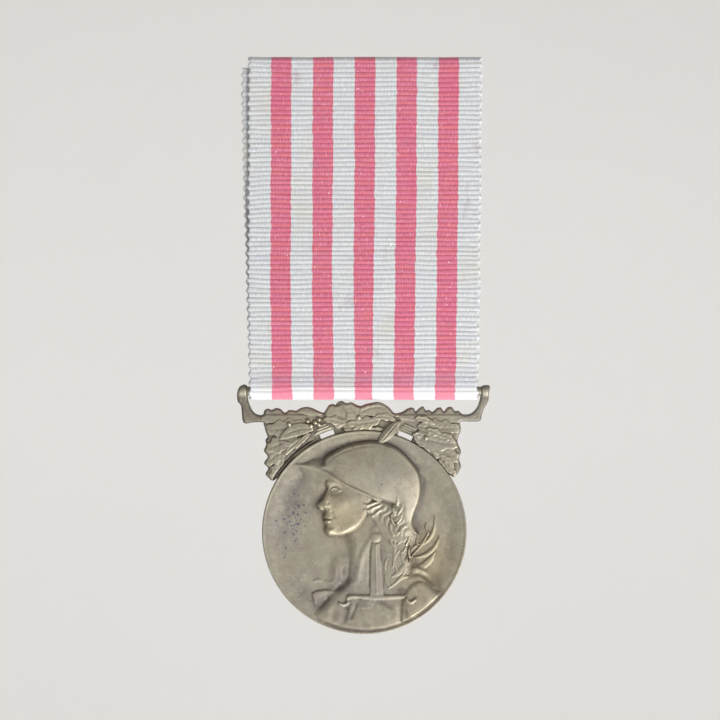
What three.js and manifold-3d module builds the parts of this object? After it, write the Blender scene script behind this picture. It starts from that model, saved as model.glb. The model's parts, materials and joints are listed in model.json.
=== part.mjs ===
// A full-size military service medal, hanging from its ribbon, as a three.js scene graph in millimetres.
//
// A struck bronze disc is soldered into a foliage suspender. The suspender's two arms carry a ribbon bar,
// and a striped grosgrain ribbon is looped round that bar and sewn to a pin-back brooch plate.
//
// +Z is up, the obverse looks towards -Y, and the origin is the centre of the brooch plate's back face,
// which lies against the wearer's coat.

import * as THREE from "three";
import { mergeVertices } from "three/addons/utils/BufferGeometryUtils.js";
import Module from "manifold-3d";

const wasm = await Module();
wasm.setup();

// ---------------------------------------------------------------------------------------------------
// Driving dimensions, in millimetres
// ---------------------------------------------------------------------------------------------------

const GAP = 0.1; // air between neighbouring pieces of one body

// Struck disc
const DISC_R = 16.5;
const EDGE_BREAK = 0.12; // chamfer round both edges
const RIM_FRONT = 0.4; // rim above the obverse field, which rises to it as a shallow dish
const RIM_FRONT_WIDTH = 0.3;
const DISH_WIDTH = 3.2;
const RIM_BACK = 0.3; // rim above the reverse field
const RIM_BACK_WIDTH = 0.8;
const FIELD_HALF = 0.72; // half the disc's thickness between its two fields
const RELIEF = 0.75; // the bust's height above the obverse field
const HEAD = 14.2; // the bust's head, from crown to chin
const CROWN_Y = 13.8; // the crown of the skull, above the disc's centre
const FACE_X = -6.2; // the plane of the brow and chin
const DISC_STEPS = 96;

// Ribbon
const RIBBON_WIDTH = 37.2;
const RIBBON_T = 0.5;
const RIBBON_TOP = 3.6; // above the brooch plate's centre
const HEM_LENGTH = 8.4;
const FLEX_BELOW_HEM = 1.4;

// Suspender and its bar
const BAR_R = 0.75;
const BAR_BELOW_TOP = 53.4; // ribbon's top edge to the bar's axis
const DISC_BELOW_BAR = 22.8; // the bar's axis to the disc's centre
const LUG_X = 19.55; // middle of a lug
const LUG_WIDTH = 1.3;
const LUG_R = 1.05;
const LUG_HOLE_R = BAR_R + 0.06;
const ARM_HALF_T = 0.7;
const ARM_ROOT_X = 15.9; // where the arms leave the foliage
const STUB_Z = 18.3; // the height of the arms' stubs above the disc's centre
const STUB_HALF = 0.65;
const GROUND_HALF_T = 0.62; // plate behind the leaves
const LEAF_HALF_T = 0.92;
const SEAT_GAP = 0.3; // between the disc's rim and the foliage, bridged by solder

// Brooch
const PLATE = { width: 34, height: 5.5, thickness: 0.8, corner: 1.2 };
const SEW_HOLE_R = 0.5;
const SEW_X = 15.9;
const SEW_Z = 1.7;
const THREAD_R = 0.28;
const PIN_R = 0.45;
const PIN_STANDOFF = 1.45; // the plate's back face to the pin's axis
const HINGE_X = -12.2;
const PIN_TIP_X = 13.6;
const CATCH_X = 11.2;

// Places worked out from those
const RIBBON_Y = -(PLATE.thickness + GAP + RIBBON_T + GAP + RIBBON_T + GAP / 2); // between its two layers
const BAR_Z = RIBBON_TOP - BAR_BELOW_TOP;
const DISC_Z = BAR_Z - DISC_BELOW_BAR;
const HEM_END_Z = RIBBON_TOP - HEM_LENGTH;
const FLEX_Z = HEM_END_Z - FLEX_BELOW_HEM;

// ---------------------------------------------------------------------------------------------------
// Materials
// ---------------------------------------------------------------------------------------------------

const material = (color, roughness, metalness) =>
  new THREE.MeshStandardMaterial({ color, roughness, metalness });

const BRONZE = material(0x8f7b55, 0.45, 1);
const SOLDER = material(0xa39c8c, 0.5, 1);
const BRASS = material(0xb39a5c, 0.38, 1);
const STEEL = material(0xb9b8b3, 0.3, 1);
const SILK = material(0xd9d5c6, 0.7, 0);
const THREAD = material(0xe4e0d2, 0.85, 0);

// ---------------------------------------------------------------------------------------------------
// Solids
// ---------------------------------------------------------------------------------------------------

// A closed geometry as a manifold-3d solid.
function solid(geometry) {
  const bare = geometry.index ? geometry.toNonIndexed() : geometry.clone();
  bare.deleteAttribute("normal");
  bare.deleteAttribute("uv");
  const merged = mergeVertices(bare, 1e-4);
  const vertProperties = merged.attributes.position.array;
  const triVerts = new Uint32Array(merged.index.array);
  return new wasm.Manifold(new wasm.Mesh({ numProp: 3, vertProperties, triVerts }));
}

// A manifold-3d solid as a geometry.
function geometryOf(body) {
  const { numProp, numVert, vertProperties, triVerts } = body.getMesh();
  const points = new Float32Array(numVert * 3);
  for (let i = 0; i < numVert; i++) {
    points.set(vertProperties.subarray(i * numProp, i * numProp + 3), i * 3);
  }
  const geometry = new THREE.BufferGeometry();
  geometry.setAttribute("position", new THREE.BufferAttribute(points, 3));
  geometry.setIndex(new THREE.BufferAttribute(triVerts, 1));
  geometry.computeVertexNormals();
  return geometry;
}

const joined = (bodies) => bodies.reduce((sum, body) => sum.add(body));

// A shape drawn with x to the right and y up, extruded from back (larger Y) to front.
function slab(shape, frontY, backY, curveSegments = 10) {
  const depth = backY - frontY;
  return new THREE.ExtrudeGeometry(shape, { depth, bevelEnabled: false, curveSegments })
    .rotateX(Math.PI / 2)
    .translate(0, backY, 0);
}

// A profile drawn with x along +Y and y along +Z, extruded along X about the middle.
function strip(shape, width, curveSegments = 10) {
  const turn = new THREE.Matrix4().makeBasis(
    new THREE.Vector3(0, 1, 0),
    new THREE.Vector3(0, 0, 1),
    new THREE.Vector3(1, 0, 0),
  );
  return new THREE.ExtrudeGeometry(shape, { depth: width, bevelEnabled: false, curveSegments })
    .applyMatrix4(turn)
    .translate(-width / 2, 0, 0);
}

// A cylinder along X, Y or Z.
function rod(radius, length, axis, [x, y, z], steps = 20) {
  const geometry = new THREE.CylinderGeometry(radius, radius, length, steps);
  if (axis === "x") geometry.rotateZ(Math.PI / 2);
  if (axis === "z") geometry.rotateX(Math.PI / 2);
  return geometry.translate(x, y, z);
}

const box = (sx, sy, sz, [x, y, z]) => new THREE.BoxGeometry(sx, sy, sz).translate(x, y, z);

// A closed outline through a few points, as a smooth curve or with straight sides.
function outline(points, smooth = true, steps = 40) {
  const vectors = points.map(([x, y]) => new THREE.Vector2(x, y));
  if (!smooth) return new THREE.Shape(vectors);
  const lifted = vectors.map((v) => new THREE.Vector3(v.x, v.y, 0));
  const curve = new THREE.CatmullRomCurve3(lifted, true, "centripetal");
  const round = curve.getPoints(steps).slice(0, -1);
  return new THREE.Shape(round.map((v) => new THREE.Vector2(v.x, v.y)));
}

// Turns and moves a shape in its own plane.
function placed(shape, x, y, degrees) {
  const angle = THREE.MathUtils.degToRad(degrees);
  const origin = new THREE.Vector2();
  const moved = shape.getPoints(8).map((p) => {
    const turned = p.clone().rotateAround(origin, angle);
    return turned.add(new THREE.Vector2(x, y));
  });
  return new THREE.Shape(moved);
}

// A slender pointed leaf from its stalk at the origin to its tip on +X.
function laurelLeaf(length, width) {
  const leaf = new THREE.Shape();
  leaf.moveTo(0, 0);
  leaf.quadraticCurveTo(length * 0.42, width * 0.98, length, 0);
  leaf.quadraticCurveTo(length * 0.42, -width * 0.98, 0, 0);
  return leaf;
}

// A lobed leaf from its stalk at the origin to its tip on +X, with rounded lobes along both sides.
function oakLeaf(length, width, lobes = 3, steps = 20) {
  const side = [];
  for (let i = 0; i <= steps; i++) {
    const t = i / steps;
    const envelope = Math.sin(Math.PI * Math.min(1, 0.1 + 0.9 * t) ** 1.15) ** 0.6;
    const lobe = 0.76 + 0.24 * Math.cos(2 * Math.PI * (lobes * t - 0.35));
    side.push(new THREE.Vector2(length * t, (width / 2) * envelope * lobe));
  }
  side[0].y = 0.12 * width;
  side[steps].y = 0.02 * width;
  const other = side.map((p) => new THREE.Vector2(p.x, -p.y)).reverse();
  return new THREE.Shape([...side, ...other]);
}

// ---------------------------------------------------------------------------------------------------
// Medal: disc with its bust in relief
// ---------------------------------------------------------------------------------------------------

// Outlines of the bust, from the disc's centre: x to the right and y up.
const HELMET = [
  [-10.7, 10.9], [-6.3, 11.3], [-4.6, 13.6], [-1.1, 15.1], [2.6, 15.2], [6.0, 13.6], [8.4, 10.4],
  [9.1, 6.4], [8.4, 2.4], [8.9, -0.2], [6.2, 0.6], [3.4, 4.2], [-1.1, 6.5], [-5.2, 9.3], [-8.2, 10.4],
];
const SHOULDERS = [
  [-8.6, -11.8], [-7.2, -9.6], [-3.4, -8.6], [1.5, -8.4], [6.4, -7.2], [9.4, -6.4], [12.3, -9.6],
  [9.4, -12.2], [3.4, -14.9], [-3.4, -14.8],
];
const SWORD_GRIP = [[1.25, -1.6], [2.75, -1.6], [3.2, -10.0], [0.9, -10.0]];
const SWORD_GUARD = [[-3.1, -10.0], [6.7, -10.0], [6.7, -10.8], [-3.1, -10.8]];

// Leaves of the laurel sprig in front of the shoulder: stalk x, stalk y, degrees, length.
const SPRIG = [
  [6.0, -7.6, 112, 3.6], [5.6, -5.0, 74, 3.4], [5.2, -2.6, 104, 3.4], [5.3, 0.2, 78, 3.6],
  [7.0, -6.2, 40, 4.2], [8.4, -4.4, 62, 3.6], [9.2, -3.4, 28, 3.8],
];

// The head in profile by the drawing-book canon: the eyes lie halfway down it, and brow, nose base and chin
// are a third of its face apart. Neck and jaw run back under the helmet.
function headOutline() {
  const chin = CROWN_Y - HEAD;
  const third = (HEAD * 0.58) / 2; // the brow is 0.58 of the head above the chin
  const brow = chin + 2 * third;
  const noseBase = chin + third;
  const mouth = noseBase - third * 0.36;
  const neckFront = FACE_X + HEAD * 0.3;
  return outline(
    [
      [FACE_X, brow + 1], [FACE_X - 0.15, brow], [FACE_X + 0.05, brow - third * 0.18],
      [FACE_X - third * 0.36, noseBase + third * 0.16], [FACE_X - 0.2, noseBase],
      [FACE_X - 0.35, mouth + 0.35], [FACE_X - 0.1, mouth], [FACE_X - 0.2, mouth - 0.5],
      [FACE_X + 0.2, mouth - 1], [FACE_X, chin + 0.6], [FACE_X + 0.7, chin], [neckFront, chin + 0.9],
      [neckFront + 0.4, chin - 2.6], [neckFront, chin - 7.2], [neckFront + HEAD * 0.5, chin - 7.4],
      [neckFront + HEAD * 0.48, chin + 2], [neckFront + HEAD * 0.4, brow - 1], [FACE_X + 5, brow + 0.8],
    ],
    true,
    72,
  );
}

function medalDisc() {
  const front = -FIELD_HALF;
  const back = FIELD_HALF;
  const dishR = DISC_R - EDGE_BREAK - RIM_FRONT_WIDTH;
  const rimBackR = DISC_R - EDGE_BREAK - RIM_BACK_WIDTH;
  const profile = [
    [0, front], [dishR - DISH_WIDTH, front], [dishR - 0.1, front - RIM_FRONT * 0.7],
    [dishR, front - RIM_FRONT], [DISC_R - EDGE_BREAK, front - RIM_FRONT],
    [DISC_R, front - RIM_FRONT + EDGE_BREAK], [DISC_R, back + RIM_BACK - EDGE_BREAK],
    [DISC_R - EDGE_BREAK, back + RIM_BACK], [rimBackR, back + RIM_BACK], [rimBackR - 0.2, back], [0, back],
  ].map(([r, y]) => new THREE.Vector2(r, y));
  const blank = solid(new THREE.LatheGeometry(profile, DISC_STEPS));

  const root = front + 0.2; // relief starts inside the field, so that it joins
  const raised = (shape, height) => solid(slab(shape, front - height, root));
  const relief = joined([
    raised(outline(SHOULDERS), RELIEF * 0.6),
    raised(headOutline(), RELIEF * 0.8),
    raised(outline(HELMET, true, 60), RELIEF),
    raised(outline(SWORD_GRIP, false), RELIEF * 0.95),
    raised(outline(SWORD_GUARD, false), RELIEF * 0.95),
    solid(rod(0.95, RELIEF + 0.2, "y", [1.95, root - (RELIEF + 0.2) / 2, -0.9])),
    ...SPRIG.map(([x, y, turn, size]) =>
      raised(placed(laurelLeaf(size, 0.95), x, y, turn), RELIEF * 0.92),
    ),
  ]);
  return blank.add(relief);
}

// ---------------------------------------------------------------------------------------------------
// Suspender: a foliage bracket soldered to the disc's rim, with two arms for the ribbon bar
// ---------------------------------------------------------------------------------------------------

// Leaves of the bracket: kind, stalk x, stalk y, degrees, length, width.
const FOLIAGE = [
  ["oak", -0.6, 17.4, 150, 6.0, 5.2], ["oak", 0.4, 17.4, 38, 5.4, 4.4], ["laurel", -1.0, 17.2, 84, 3.8, 1.9],
  ["laurel", -5.6, 18.2, 162, 4.8, 1.8], ["oak", -8.4, 17.4, 158, 6.6, 4.4], ["oak", 6.2, 17.8, 14, 6.4, 4.2],
  ["laurel", -7.4, 17.0, 206, 6.4, 2.0], ["laurel", 8.0, 17.4, -22, 6.2, 2.0],
  ["oak", -11.0, 16.2, 196, 5.6, 4.4], ["oak", 11.0, 16.2, -16, 5.4, 4.4],
  ["oak", -12.4, 14.6, 232, 5.4, 4.0], ["oak", 12.2, 14.6, -52, 5.2, 4.0],
  ["laurel", -13.6, 12.8, 256, 4.6, 2.2], ["laurel", 13.4, 12.8, -76, 4.3, 2.2],
];
const GROUND = [
  [-ARM_ROOT_X, STUB_Z - 0.6], [-ARM_ROOT_X, STUB_Z + 0.6], [-15.2, 19.2], [-12.6, 19.6],
  [-9.4, 19.3], [-5.8, 19.6], [-3.4, 20.5], [2.6, 20.5], [5.0, 19.5], [9.4, 19.4], [12.8, 19.6],
  [15.2, 19.2], [ARM_ROOT_X, STUB_Z + 0.6], [ARM_ROOT_X, STUB_Z - 0.6],
  [15.2, 17.4], [15.3, 12.4], [14.9, 9.0], [12.0, 9.6], [0, 14.6], [-12.0, 9.6], [-14.9, 9.0],
  [-15.5, 12.4], [-15.3, 17.4],
];
const RIM_LEAF = { x: 3.6, y: 18.6, degrees: 284, length: 4.2, width: 1.9 }; // laps over the disc's rim
const RIM_LEAF_T = 0.35;
const SLOT_ANGLE = 21.5; // pierced slots beside the disc's top, from the vertical
const SLOT_SPAN = 8.5;
const SLOT_DEPTH = 0.95;
const SOLDER_SPAN = 9;

// A region bounded by two arcs about the disc's centre, its middle at an angle from the vertical.
function arcBand(inner, outer, middleDegrees, spanDegrees) {
  const from = THREE.MathUtils.degToRad(90 + middleDegrees - spanDegrees / 2);
  const to = THREE.MathUtils.degToRad(90 + middleDegrees + spanDegrees / 2);
  const band = new THREE.Shape();
  band.absarc(0, 0, outer, from, to, false);
  band.absarc(0, 0, inner, to, from, true);
  return band;
}

function suspenderBracket() {
  const leaf = ([kind, x, y, turn, length, width]) => {
    const shape = kind === "oak" ? oakLeaf(length, width) : laurelLeaf(length, width);
    return solid(slab(placed(shape, x, y, turn), -LEAF_HALF_T, LEAF_HALF_T));
  };
  const slot = (side) => {
    const band = arcBand(DISC_R - 1, DISC_R + SEAT_GAP + SLOT_DEPTH, side * SLOT_ANGLE, SLOT_SPAN);
    return solid(slab(band, -2, 2));
  };
  const ground = solid(slab(outline(GROUND, false), -GROUND_HALF_T, GROUND_HALF_T));
  const seat = solid(rod(DISC_R + SEAT_GAP, 4, "y", [0, 0, 0], DISC_STEPS));
  const armRoots = [-1, 1].map((side) => solid(box(2, 4, 2, [side * (ARM_ROOT_X - GAP + 1), 0, STUB_Z])));
  const cuts = joined([seat, slot(-1), slot(1), ...armRoots]);

  const { x, y, degrees, length, width } = RIM_LEAF;
  const rimFront = -FIELD_HALF - RIM_FRONT - GAP;
  const rimLeafShape = placed(laurelLeaf(length, width), x, y, degrees);
  const rimLeaf = solid(slab(rimLeafShape, rimFront - RIM_LEAF_T, rimFront));
  const rimLeafRoot = solid(rod(0.6, -rimFront, "y", [x, rimFront / 2, y - 0.7], 16));
  return joined([ground, ...FOLIAGE.map(leaf)]).subtract(cuts).add(rimLeafRoot).add(rimLeaf);
}

// A drop of solder in the gap between the rim and the bracket.
function solderDrop(degrees) {
  const clear = 0.02;
  const band = arcBand(DISC_R + clear, DISC_R + SEAT_GAP - clear, degrees, SOLDER_SPAN);
  return slab(band, -GROUND_HALF_T, GROUND_HALF_T, 8);
}

// One arm: a stub out of the foliage, a rising limb, and a lug with a hole for the ribbon bar.
function suspenderArm(side) {
  const lugInner = LUG_X - LUG_WIDTH / 2;
  const lugOuter = LUG_X + LUG_WIDTH / 2;
  const limb = [
    [ARM_ROOT_X, STUB_Z - STUB_HALF], [19.0, STUB_Z - STUB_HALF], [19.75, 20.4],
    [lugOuter, DISC_BELOW_BAR], [lugInner, DISC_BELOW_BAR], [lugInner, 21.2], [18.1, 19.8],
    [17.1, STUB_Z + STUB_HALF], [ARM_ROOT_X, STUB_Z + STUB_HALF],
  ];
  const mirrored = limb.map(([x, y]) => [side * x, y]);
  const bladeShape = outline(side > 0 ? mirrored : mirrored.reverse(), false);
  const blade = solid(slab(bladeShape, -ARM_HALF_T, ARM_HALF_T));
  const lug = solid(rod(LUG_R, LUG_WIDTH, "x", [side * LUG_X, 0, DISC_BELOW_BAR], 24));
  const hole = solid(rod(LUG_HOLE_R, 4, "x", [side * LUG_X, 0, DISC_BELOW_BAR], 24));
  return blade.add(lug).subtract(hole);
}

// The bar's ends are spread over the lugs, as a riveted rod's are.
function ribbonBar() {
  const headLength = 0.3;
  const lugOuter = LUG_X + LUG_WIDTH / 2;
  const headX = lugOuter + GAP + headLength / 2;
  const head = (side) => rod(BAR_R + 0.2, headLength, "x", [side * headX, 0, 0], 24);
  const shank = rod(BAR_R, 2 * headX, "x", [0, 0, 0], 24);
  return joined([solid(shank), solid(head(-1)), solid(head(1))]);
}

// ---------------------------------------------------------------------------------------------------
// Ribbon: one strip of silk, in three solids so that it can flex below the brooch
// ---------------------------------------------------------------------------------------------------

// The drop: both layers, closed round the bar below and ending above in a round edge at the flex line.
function ribbonDrop() {
  const half = RIBBON_T + GAP / 2; // half the thickness of the two layers together
  const inside = BAR_R + 0.12;
  const outside = inside + RIBBON_T;
  const top = FLEX_Z - BAR_Z; // measured from the bar's axis
  const shape = new THREE.Shape();
  shape.moveTo(-half, top);
  shape.bezierCurveTo(-half, top * 0.5, -outside, top * 0.25, -outside, 0);
  shape.absarc(0, 0, outside, Math.PI, 2 * Math.PI, false);
  shape.bezierCurveTo(outside, top * 0.25, half, top * 0.5, half, top);
  shape.absarc(0, top, half, 0, Math.PI, false);
  const hole = new THREE.Path();
  const innerTop = top - 3;
  hole.moveTo(inside, 0);
  hole.absarc(0, 0, inside, 0, Math.PI, true);
  hole.bezierCurveTo(-inside, top * 0.25, -GAP / 2, top * 0.5, -GAP / 2, innerTop);
  hole.lineTo(GAP / 2, innerTop);
  hole.bezierCurveTo(GAP / 2, top * 0.5, inside, top * 0.25, inside, 0);
  shape.holes.push(hole);
  return strip(shape, RIBBON_WIDTH, 14).translate(0, 0, BAR_Z);
}

const HEAD_END_Z = FLEX_Z + RIBBON_T + GAP / 2 + GAP; // the head stops where the drop's round end clears it

// The head: the front layer, folded back over the top edge and down behind as the hem.
function ribbonHead() {
  const front = -RIBBON_T - GAP / 2;
  const back = 2 * RIBBON_T + GAP * 1.5;
  const radius = (back - front) / 2;
  const middle = (front + back) / 2;
  const shoulder = RIBBON_TOP - radius * 0.55;
  const shape = new THREE.Shape();
  shape.moveTo(front, HEAD_END_Z);
  shape.lineTo(front, shoulder);
  shape.absellipse(middle, shoulder, radius, radius * 0.55, Math.PI, 0, true, 0);
  shape.lineTo(back, HEM_END_Z);
  shape.lineTo(back - RIBBON_T, HEM_END_Z);
  shape.lineTo(back - RIBBON_T, shoulder - 0.2);
  shape.lineTo(front + RIBBON_T, shoulder - 0.2);
  shape.lineTo(front + RIBBON_T, HEAD_END_Z);
  return strip(shape, RIBBON_WIDTH, 12);
}

// The tail: the rear layer's end, tucked inside the fold.
function ribbonTail() {
  const top = RIBBON_TOP - 1.4;
  const height = top - HEAD_END_Z;
  const y = (GAP + RIBBON_T) / 2;
  return box(RIBBON_WIDTH, RIBBON_T, height, [0, y, HEAD_END_Z + height / 2]);
}

// ---------------------------------------------------------------------------------------------------
// Brooch: plate, hinge, pin and catch, and the thread that sews it on
// ---------------------------------------------------------------------------------------------------

function broochPlate() {
  const { width, height, corner, thickness } = PLATE;
  const shape = new THREE.Shape();
  shape.absarc(width / 2 - corner, height / 2 - corner, corner, 0, Math.PI / 2);
  shape.absarc(-width / 2 + corner, height / 2 - corner, corner, Math.PI / 2, Math.PI);
  shape.absarc(-width / 2 + corner, -height / 2 + corner, corner, Math.PI, Math.PI * 1.5);
  shape.absarc(width / 2 - corner, -height / 2 + corner, corner, Math.PI * 1.5, Math.PI * 2);
  for (const [x, z] of sewingHoles()) {
    const hole = new THREE.Path();
    hole.absarc(x, z, SEW_HOLE_R, 0, 2 * Math.PI, true);
    shape.holes.push(hole);
  }
  return slab(shape, -thickness, 0, 8);
}

function sewingHoles() {
  return [-1, 1].flatMap((side) => [-1, 1].map((up) => [side * SEW_X, up * SEW_Z]));
}

const EAR_T = 0.55;
const EAR_GAP = 1.3; // between the two ears, along Z
const EYE_R = 0.95;
const RIVET_R = 0.4;

// The hinge block: a U of sheet brass with two ears.
function hingeBlock() {
  const reach = PIN_STANDOFF + EYE_R;
  const base = box(2.6, 0.35, EAR_GAP + 2 * EAR_T, [HINGE_X, 0.175, 0]);
  const ears = [-1, 1].map((up) => {
    const z = (up * (EAR_GAP + EAR_T)) / 2;
    const cheek = solid(box(2.2, reach - EYE_R, EAR_T, [HINGE_X, (reach - EYE_R) / 2, z]));
    return cheek.add(solid(rod(1.1, EAR_T, "z", [HINGE_X, PIN_STANDOFF, z], 24)));
  });
  const hole = solid(rod(RIVET_R + 0.06, 6, "z", [HINGE_X, PIN_STANDOFF, 0], 20));
  return joined([solid(base), ...ears]).subtract(hole);
}

function hingeRivet() {
  const reach = EAR_GAP / 2 + EAR_T;
  const head = (up) => rod(0.7, 0.22, "z", [HINGE_X, PIN_STANDOFF, up * (reach + GAP / 2 + 0.11)]);
  const shank = rod(RIVET_R, 2 * reach + GAP + 0.2, "z", [HINGE_X, PIN_STANDOFF, 0]);
  return joined([solid(shank), solid(head(-1)), solid(head(1))]);
}

// The pin: a round eye on the rivet, a straight wire and a ground point.
function pinStem() {
  const eye = solid(rod(EYE_R, EAR_GAP - 0.2, "z", [HINGE_X, PIN_STANDOFF, 0], 24));
  const hole = solid(rod(RIVET_R + 0.06, 4, "z", [HINGE_X, PIN_STANDOFF, 0], 20));
  const pointLength = 3.4;
  const straight = PIN_TIP_X - pointLength - HINGE_X;
  const wire = rod(PIN_R, straight, "x", [HINGE_X + straight / 2, PIN_STANDOFF, 0], 16);
  const point = new THREE.CylinderGeometry(0.06, PIN_R, pointLength, 16)
    .rotateZ(-Math.PI / 2)
    .translate(PIN_TIP_X - pointLength / 2, PIN_STANDOFF, 0);
  return joined([eye, solid(wire), solid(point)]).subtract(hole);
}

// One stitch of the thread that sews the ribbon to an end of the plate, through two holes.
function sewingThread(side) {
  const legEnd = -PLATE.thickness - GAP / 2;
  const across = THREAD_R + GAP / 2;
  const x = side * SEW_X;
  const leg = (up) => rod(THREAD_R, across - legEnd, "y", [x, (across + legEnd) / 2, up * SEW_Z], 12);
  const corner = (up) => new THREE.SphereGeometry(THREAD_R, 12, 8).translate(x, across, up * SEW_Z);
  const bridge = rod(THREAD_R, 2 * SEW_Z, "z", [x, across, 0], 12);
  return joined([leg(-1), leg(1), corner(-1), corner(1), bridge].map(solid));
}

// The catch: a spring clip with its mouth to the back, rolled outwards at both lips.
function catchClip() {
  const wall = 0.4;
  const inner = PIN_R + 0.14; // half the clip's channel, along Z
  const lip = PIN_STANDOFF + PIN_R + 0.5;
  const flare = 0.5;
  const profile = [
    [0, -inner - wall - 0.6], [0.35, -inner - wall - 0.6], [0.35, -inner - wall], [lip, -inner - wall],
    [lip + flare, -inner - wall - flare], [lip + flare, -inner - flare + 0.05], [lip, -inner],
    [PIN_STANDOFF - PIN_R - 0.14, -inner], [PIN_STANDOFF - PIN_R - 0.14, inner], [lip, inner],
    [lip + flare, inner + flare - 0.05], [lip + flare, inner + wall + flare], [lip, inner + wall],
    [0.35, inner + wall], [0.35, inner + wall + 0.6], [0, inner + wall + 0.6],
  ];
  return strip(outline(profile, false), 2.2).translate(CATCH_X, 0, 0);
}

// ---------------------------------------------------------------------------------------------------
// Assembly
// ---------------------------------------------------------------------------------------------------

function node(name, shape, look) {
  const geometry = shape.isBufferGeometry ? shape : geometryOf(shape);
  const mesh = new THREE.Mesh(geometry, look);
  mesh.name = name;
  return mesh;
}

const brooch = new THREE.Group();
brooch.add(
  node("brooch_plate", broochPlate(), BRASS),
  node("hinge_block", hingeBlock(), BRASS),
  node("hinge_rivet", hingeRivet(), BRASS),
  node("pin_stem", pinStem(), STEEL),
  node("catch_clip", catchClip(), BRASS),
  node("sewing_thread_left", sewingThread(-1), THREAD),
  node("sewing_thread_right", sewingThread(1), THREAD),
);

const ribbon = new THREE.Group();
ribbon.position.y = RIBBON_Y;
ribbon.add(
  node("ribbon_head", ribbonHead(), SILK),
  node("ribbon_tail", ribbonTail(), SILK),
  node("ribbon_drop", ribbonDrop(), SILK),
);

const medal = new THREE.Group();
medal.position.set(0, RIBBON_Y, DISC_Z);
medal.add(
  node("medal_disc", medalDisc(), BRONZE),
  node("suspender_bracket", suspenderBracket(), BRONZE),
  node("suspender_arm_left", suspenderArm(-1), BRONZE),
  node("suspender_arm_right", suspenderArm(1), BRONZE),
  node("solder_left", solderDrop(38), SOLDER),
  node("solder_top", solderDrop(0), SOLDER),
  node("solder_right", solderDrop(-38), SOLDER),
);
const bar = node("ribbon_bar", ribbonBar(), BRONZE);
bar.position.z = DISC_BELOW_BAR;
medal.add(bar);

const serviceMedal = new THREE.Group();
serviceMedal.add(brooch, ribbon, medal);

export default serviceMedal;
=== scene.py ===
"""Looks of a full-size service medal that hangs by its ribbon from a pin-back brooch.

The reliefs are height fields, worked out in millimetres from a few drawn outlines and turned into closed
meshes. The ribbon is one woven strip, swept along its folded path. Everything is placed from the CAD frame.
"""
import json
import math

import bpy
import numpy as np
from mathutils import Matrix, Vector


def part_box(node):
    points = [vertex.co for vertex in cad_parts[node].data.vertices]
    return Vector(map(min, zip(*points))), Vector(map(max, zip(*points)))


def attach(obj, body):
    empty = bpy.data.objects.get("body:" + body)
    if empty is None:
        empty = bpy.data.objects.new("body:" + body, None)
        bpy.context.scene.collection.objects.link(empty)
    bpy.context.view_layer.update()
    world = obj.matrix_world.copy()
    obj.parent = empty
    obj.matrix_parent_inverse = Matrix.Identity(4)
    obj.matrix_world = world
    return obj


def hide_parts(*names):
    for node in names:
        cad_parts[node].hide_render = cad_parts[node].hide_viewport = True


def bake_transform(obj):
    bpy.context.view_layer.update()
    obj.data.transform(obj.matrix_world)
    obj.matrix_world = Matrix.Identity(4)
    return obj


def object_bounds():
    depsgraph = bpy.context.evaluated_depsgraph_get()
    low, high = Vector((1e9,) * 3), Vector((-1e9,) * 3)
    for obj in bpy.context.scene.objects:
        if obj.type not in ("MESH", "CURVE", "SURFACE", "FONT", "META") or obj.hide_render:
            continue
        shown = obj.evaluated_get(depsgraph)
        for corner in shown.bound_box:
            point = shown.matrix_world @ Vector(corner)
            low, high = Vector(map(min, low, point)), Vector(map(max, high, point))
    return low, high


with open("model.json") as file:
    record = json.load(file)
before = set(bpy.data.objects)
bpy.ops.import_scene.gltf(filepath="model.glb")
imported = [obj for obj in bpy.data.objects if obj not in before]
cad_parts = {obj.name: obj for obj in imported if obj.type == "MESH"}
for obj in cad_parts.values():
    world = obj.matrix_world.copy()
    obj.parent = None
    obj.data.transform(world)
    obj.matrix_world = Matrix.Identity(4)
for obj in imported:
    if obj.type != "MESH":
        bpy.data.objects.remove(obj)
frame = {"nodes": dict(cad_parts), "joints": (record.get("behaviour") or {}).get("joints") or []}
cad_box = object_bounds()

MM = 0.001

# --- Places from the frame, in millimetres ---


def node_box(node):
    low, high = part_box(node)
    return np.array(low) / MM, np.array(high) / MM


def joint_anchor(name):
    joint = next(j for j in frame["joints"] if j["name"] == name)
    return np.array(joint["pos_m"]) / MM


disc_low, disc_high = node_box("medal_disc")
DISC_X = (disc_low[0] + disc_high[0]) / 2
DISC_Z = (disc_low[2] + disc_high[2]) / 2
DISC_R = (disc_high[2] - disc_low[2]) / 2
MID_Y, BAR_Z = joint_anchor("medal_swing")[1:]  # MID_Y is midway between the ribbon's layers
FLEX_Z = joint_anchor("ribbon_flex")[2]
REVERSE_Y = disc_high[1] - MID_Y  # the reverse rim, behind the middle plane
RIBBON_TOP = node_box("ribbon_head")[1][2]
DISC_CENTRE = [DISC_X, MID_Y, DISC_Z]

# --- Numbers along curves and inside outlines ---


def smooth_step(value, start, end):
    t = np.clip((value - start) / (end - start), 0, 1)
    return t * t * (3 - 2 * t)


def swell(depth, width):
    """A quarter-round edge: 0 at an outline and 1 from width inside it."""
    t = np.clip(depth / width, 0, 1)
    return np.sqrt(1 - (1 - t) ** 2)


def bell(value, width):
    """1 at nought, falling away on both sides."""
    return np.exp(-((value / width) ** 2))


def half_round(away, radius):
    """A half-round section: 1 on its middle line and 0 from radius outwards."""
    return np.sqrt(np.clip(1 - (away / radius) ** 2, 0, 1))


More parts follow.
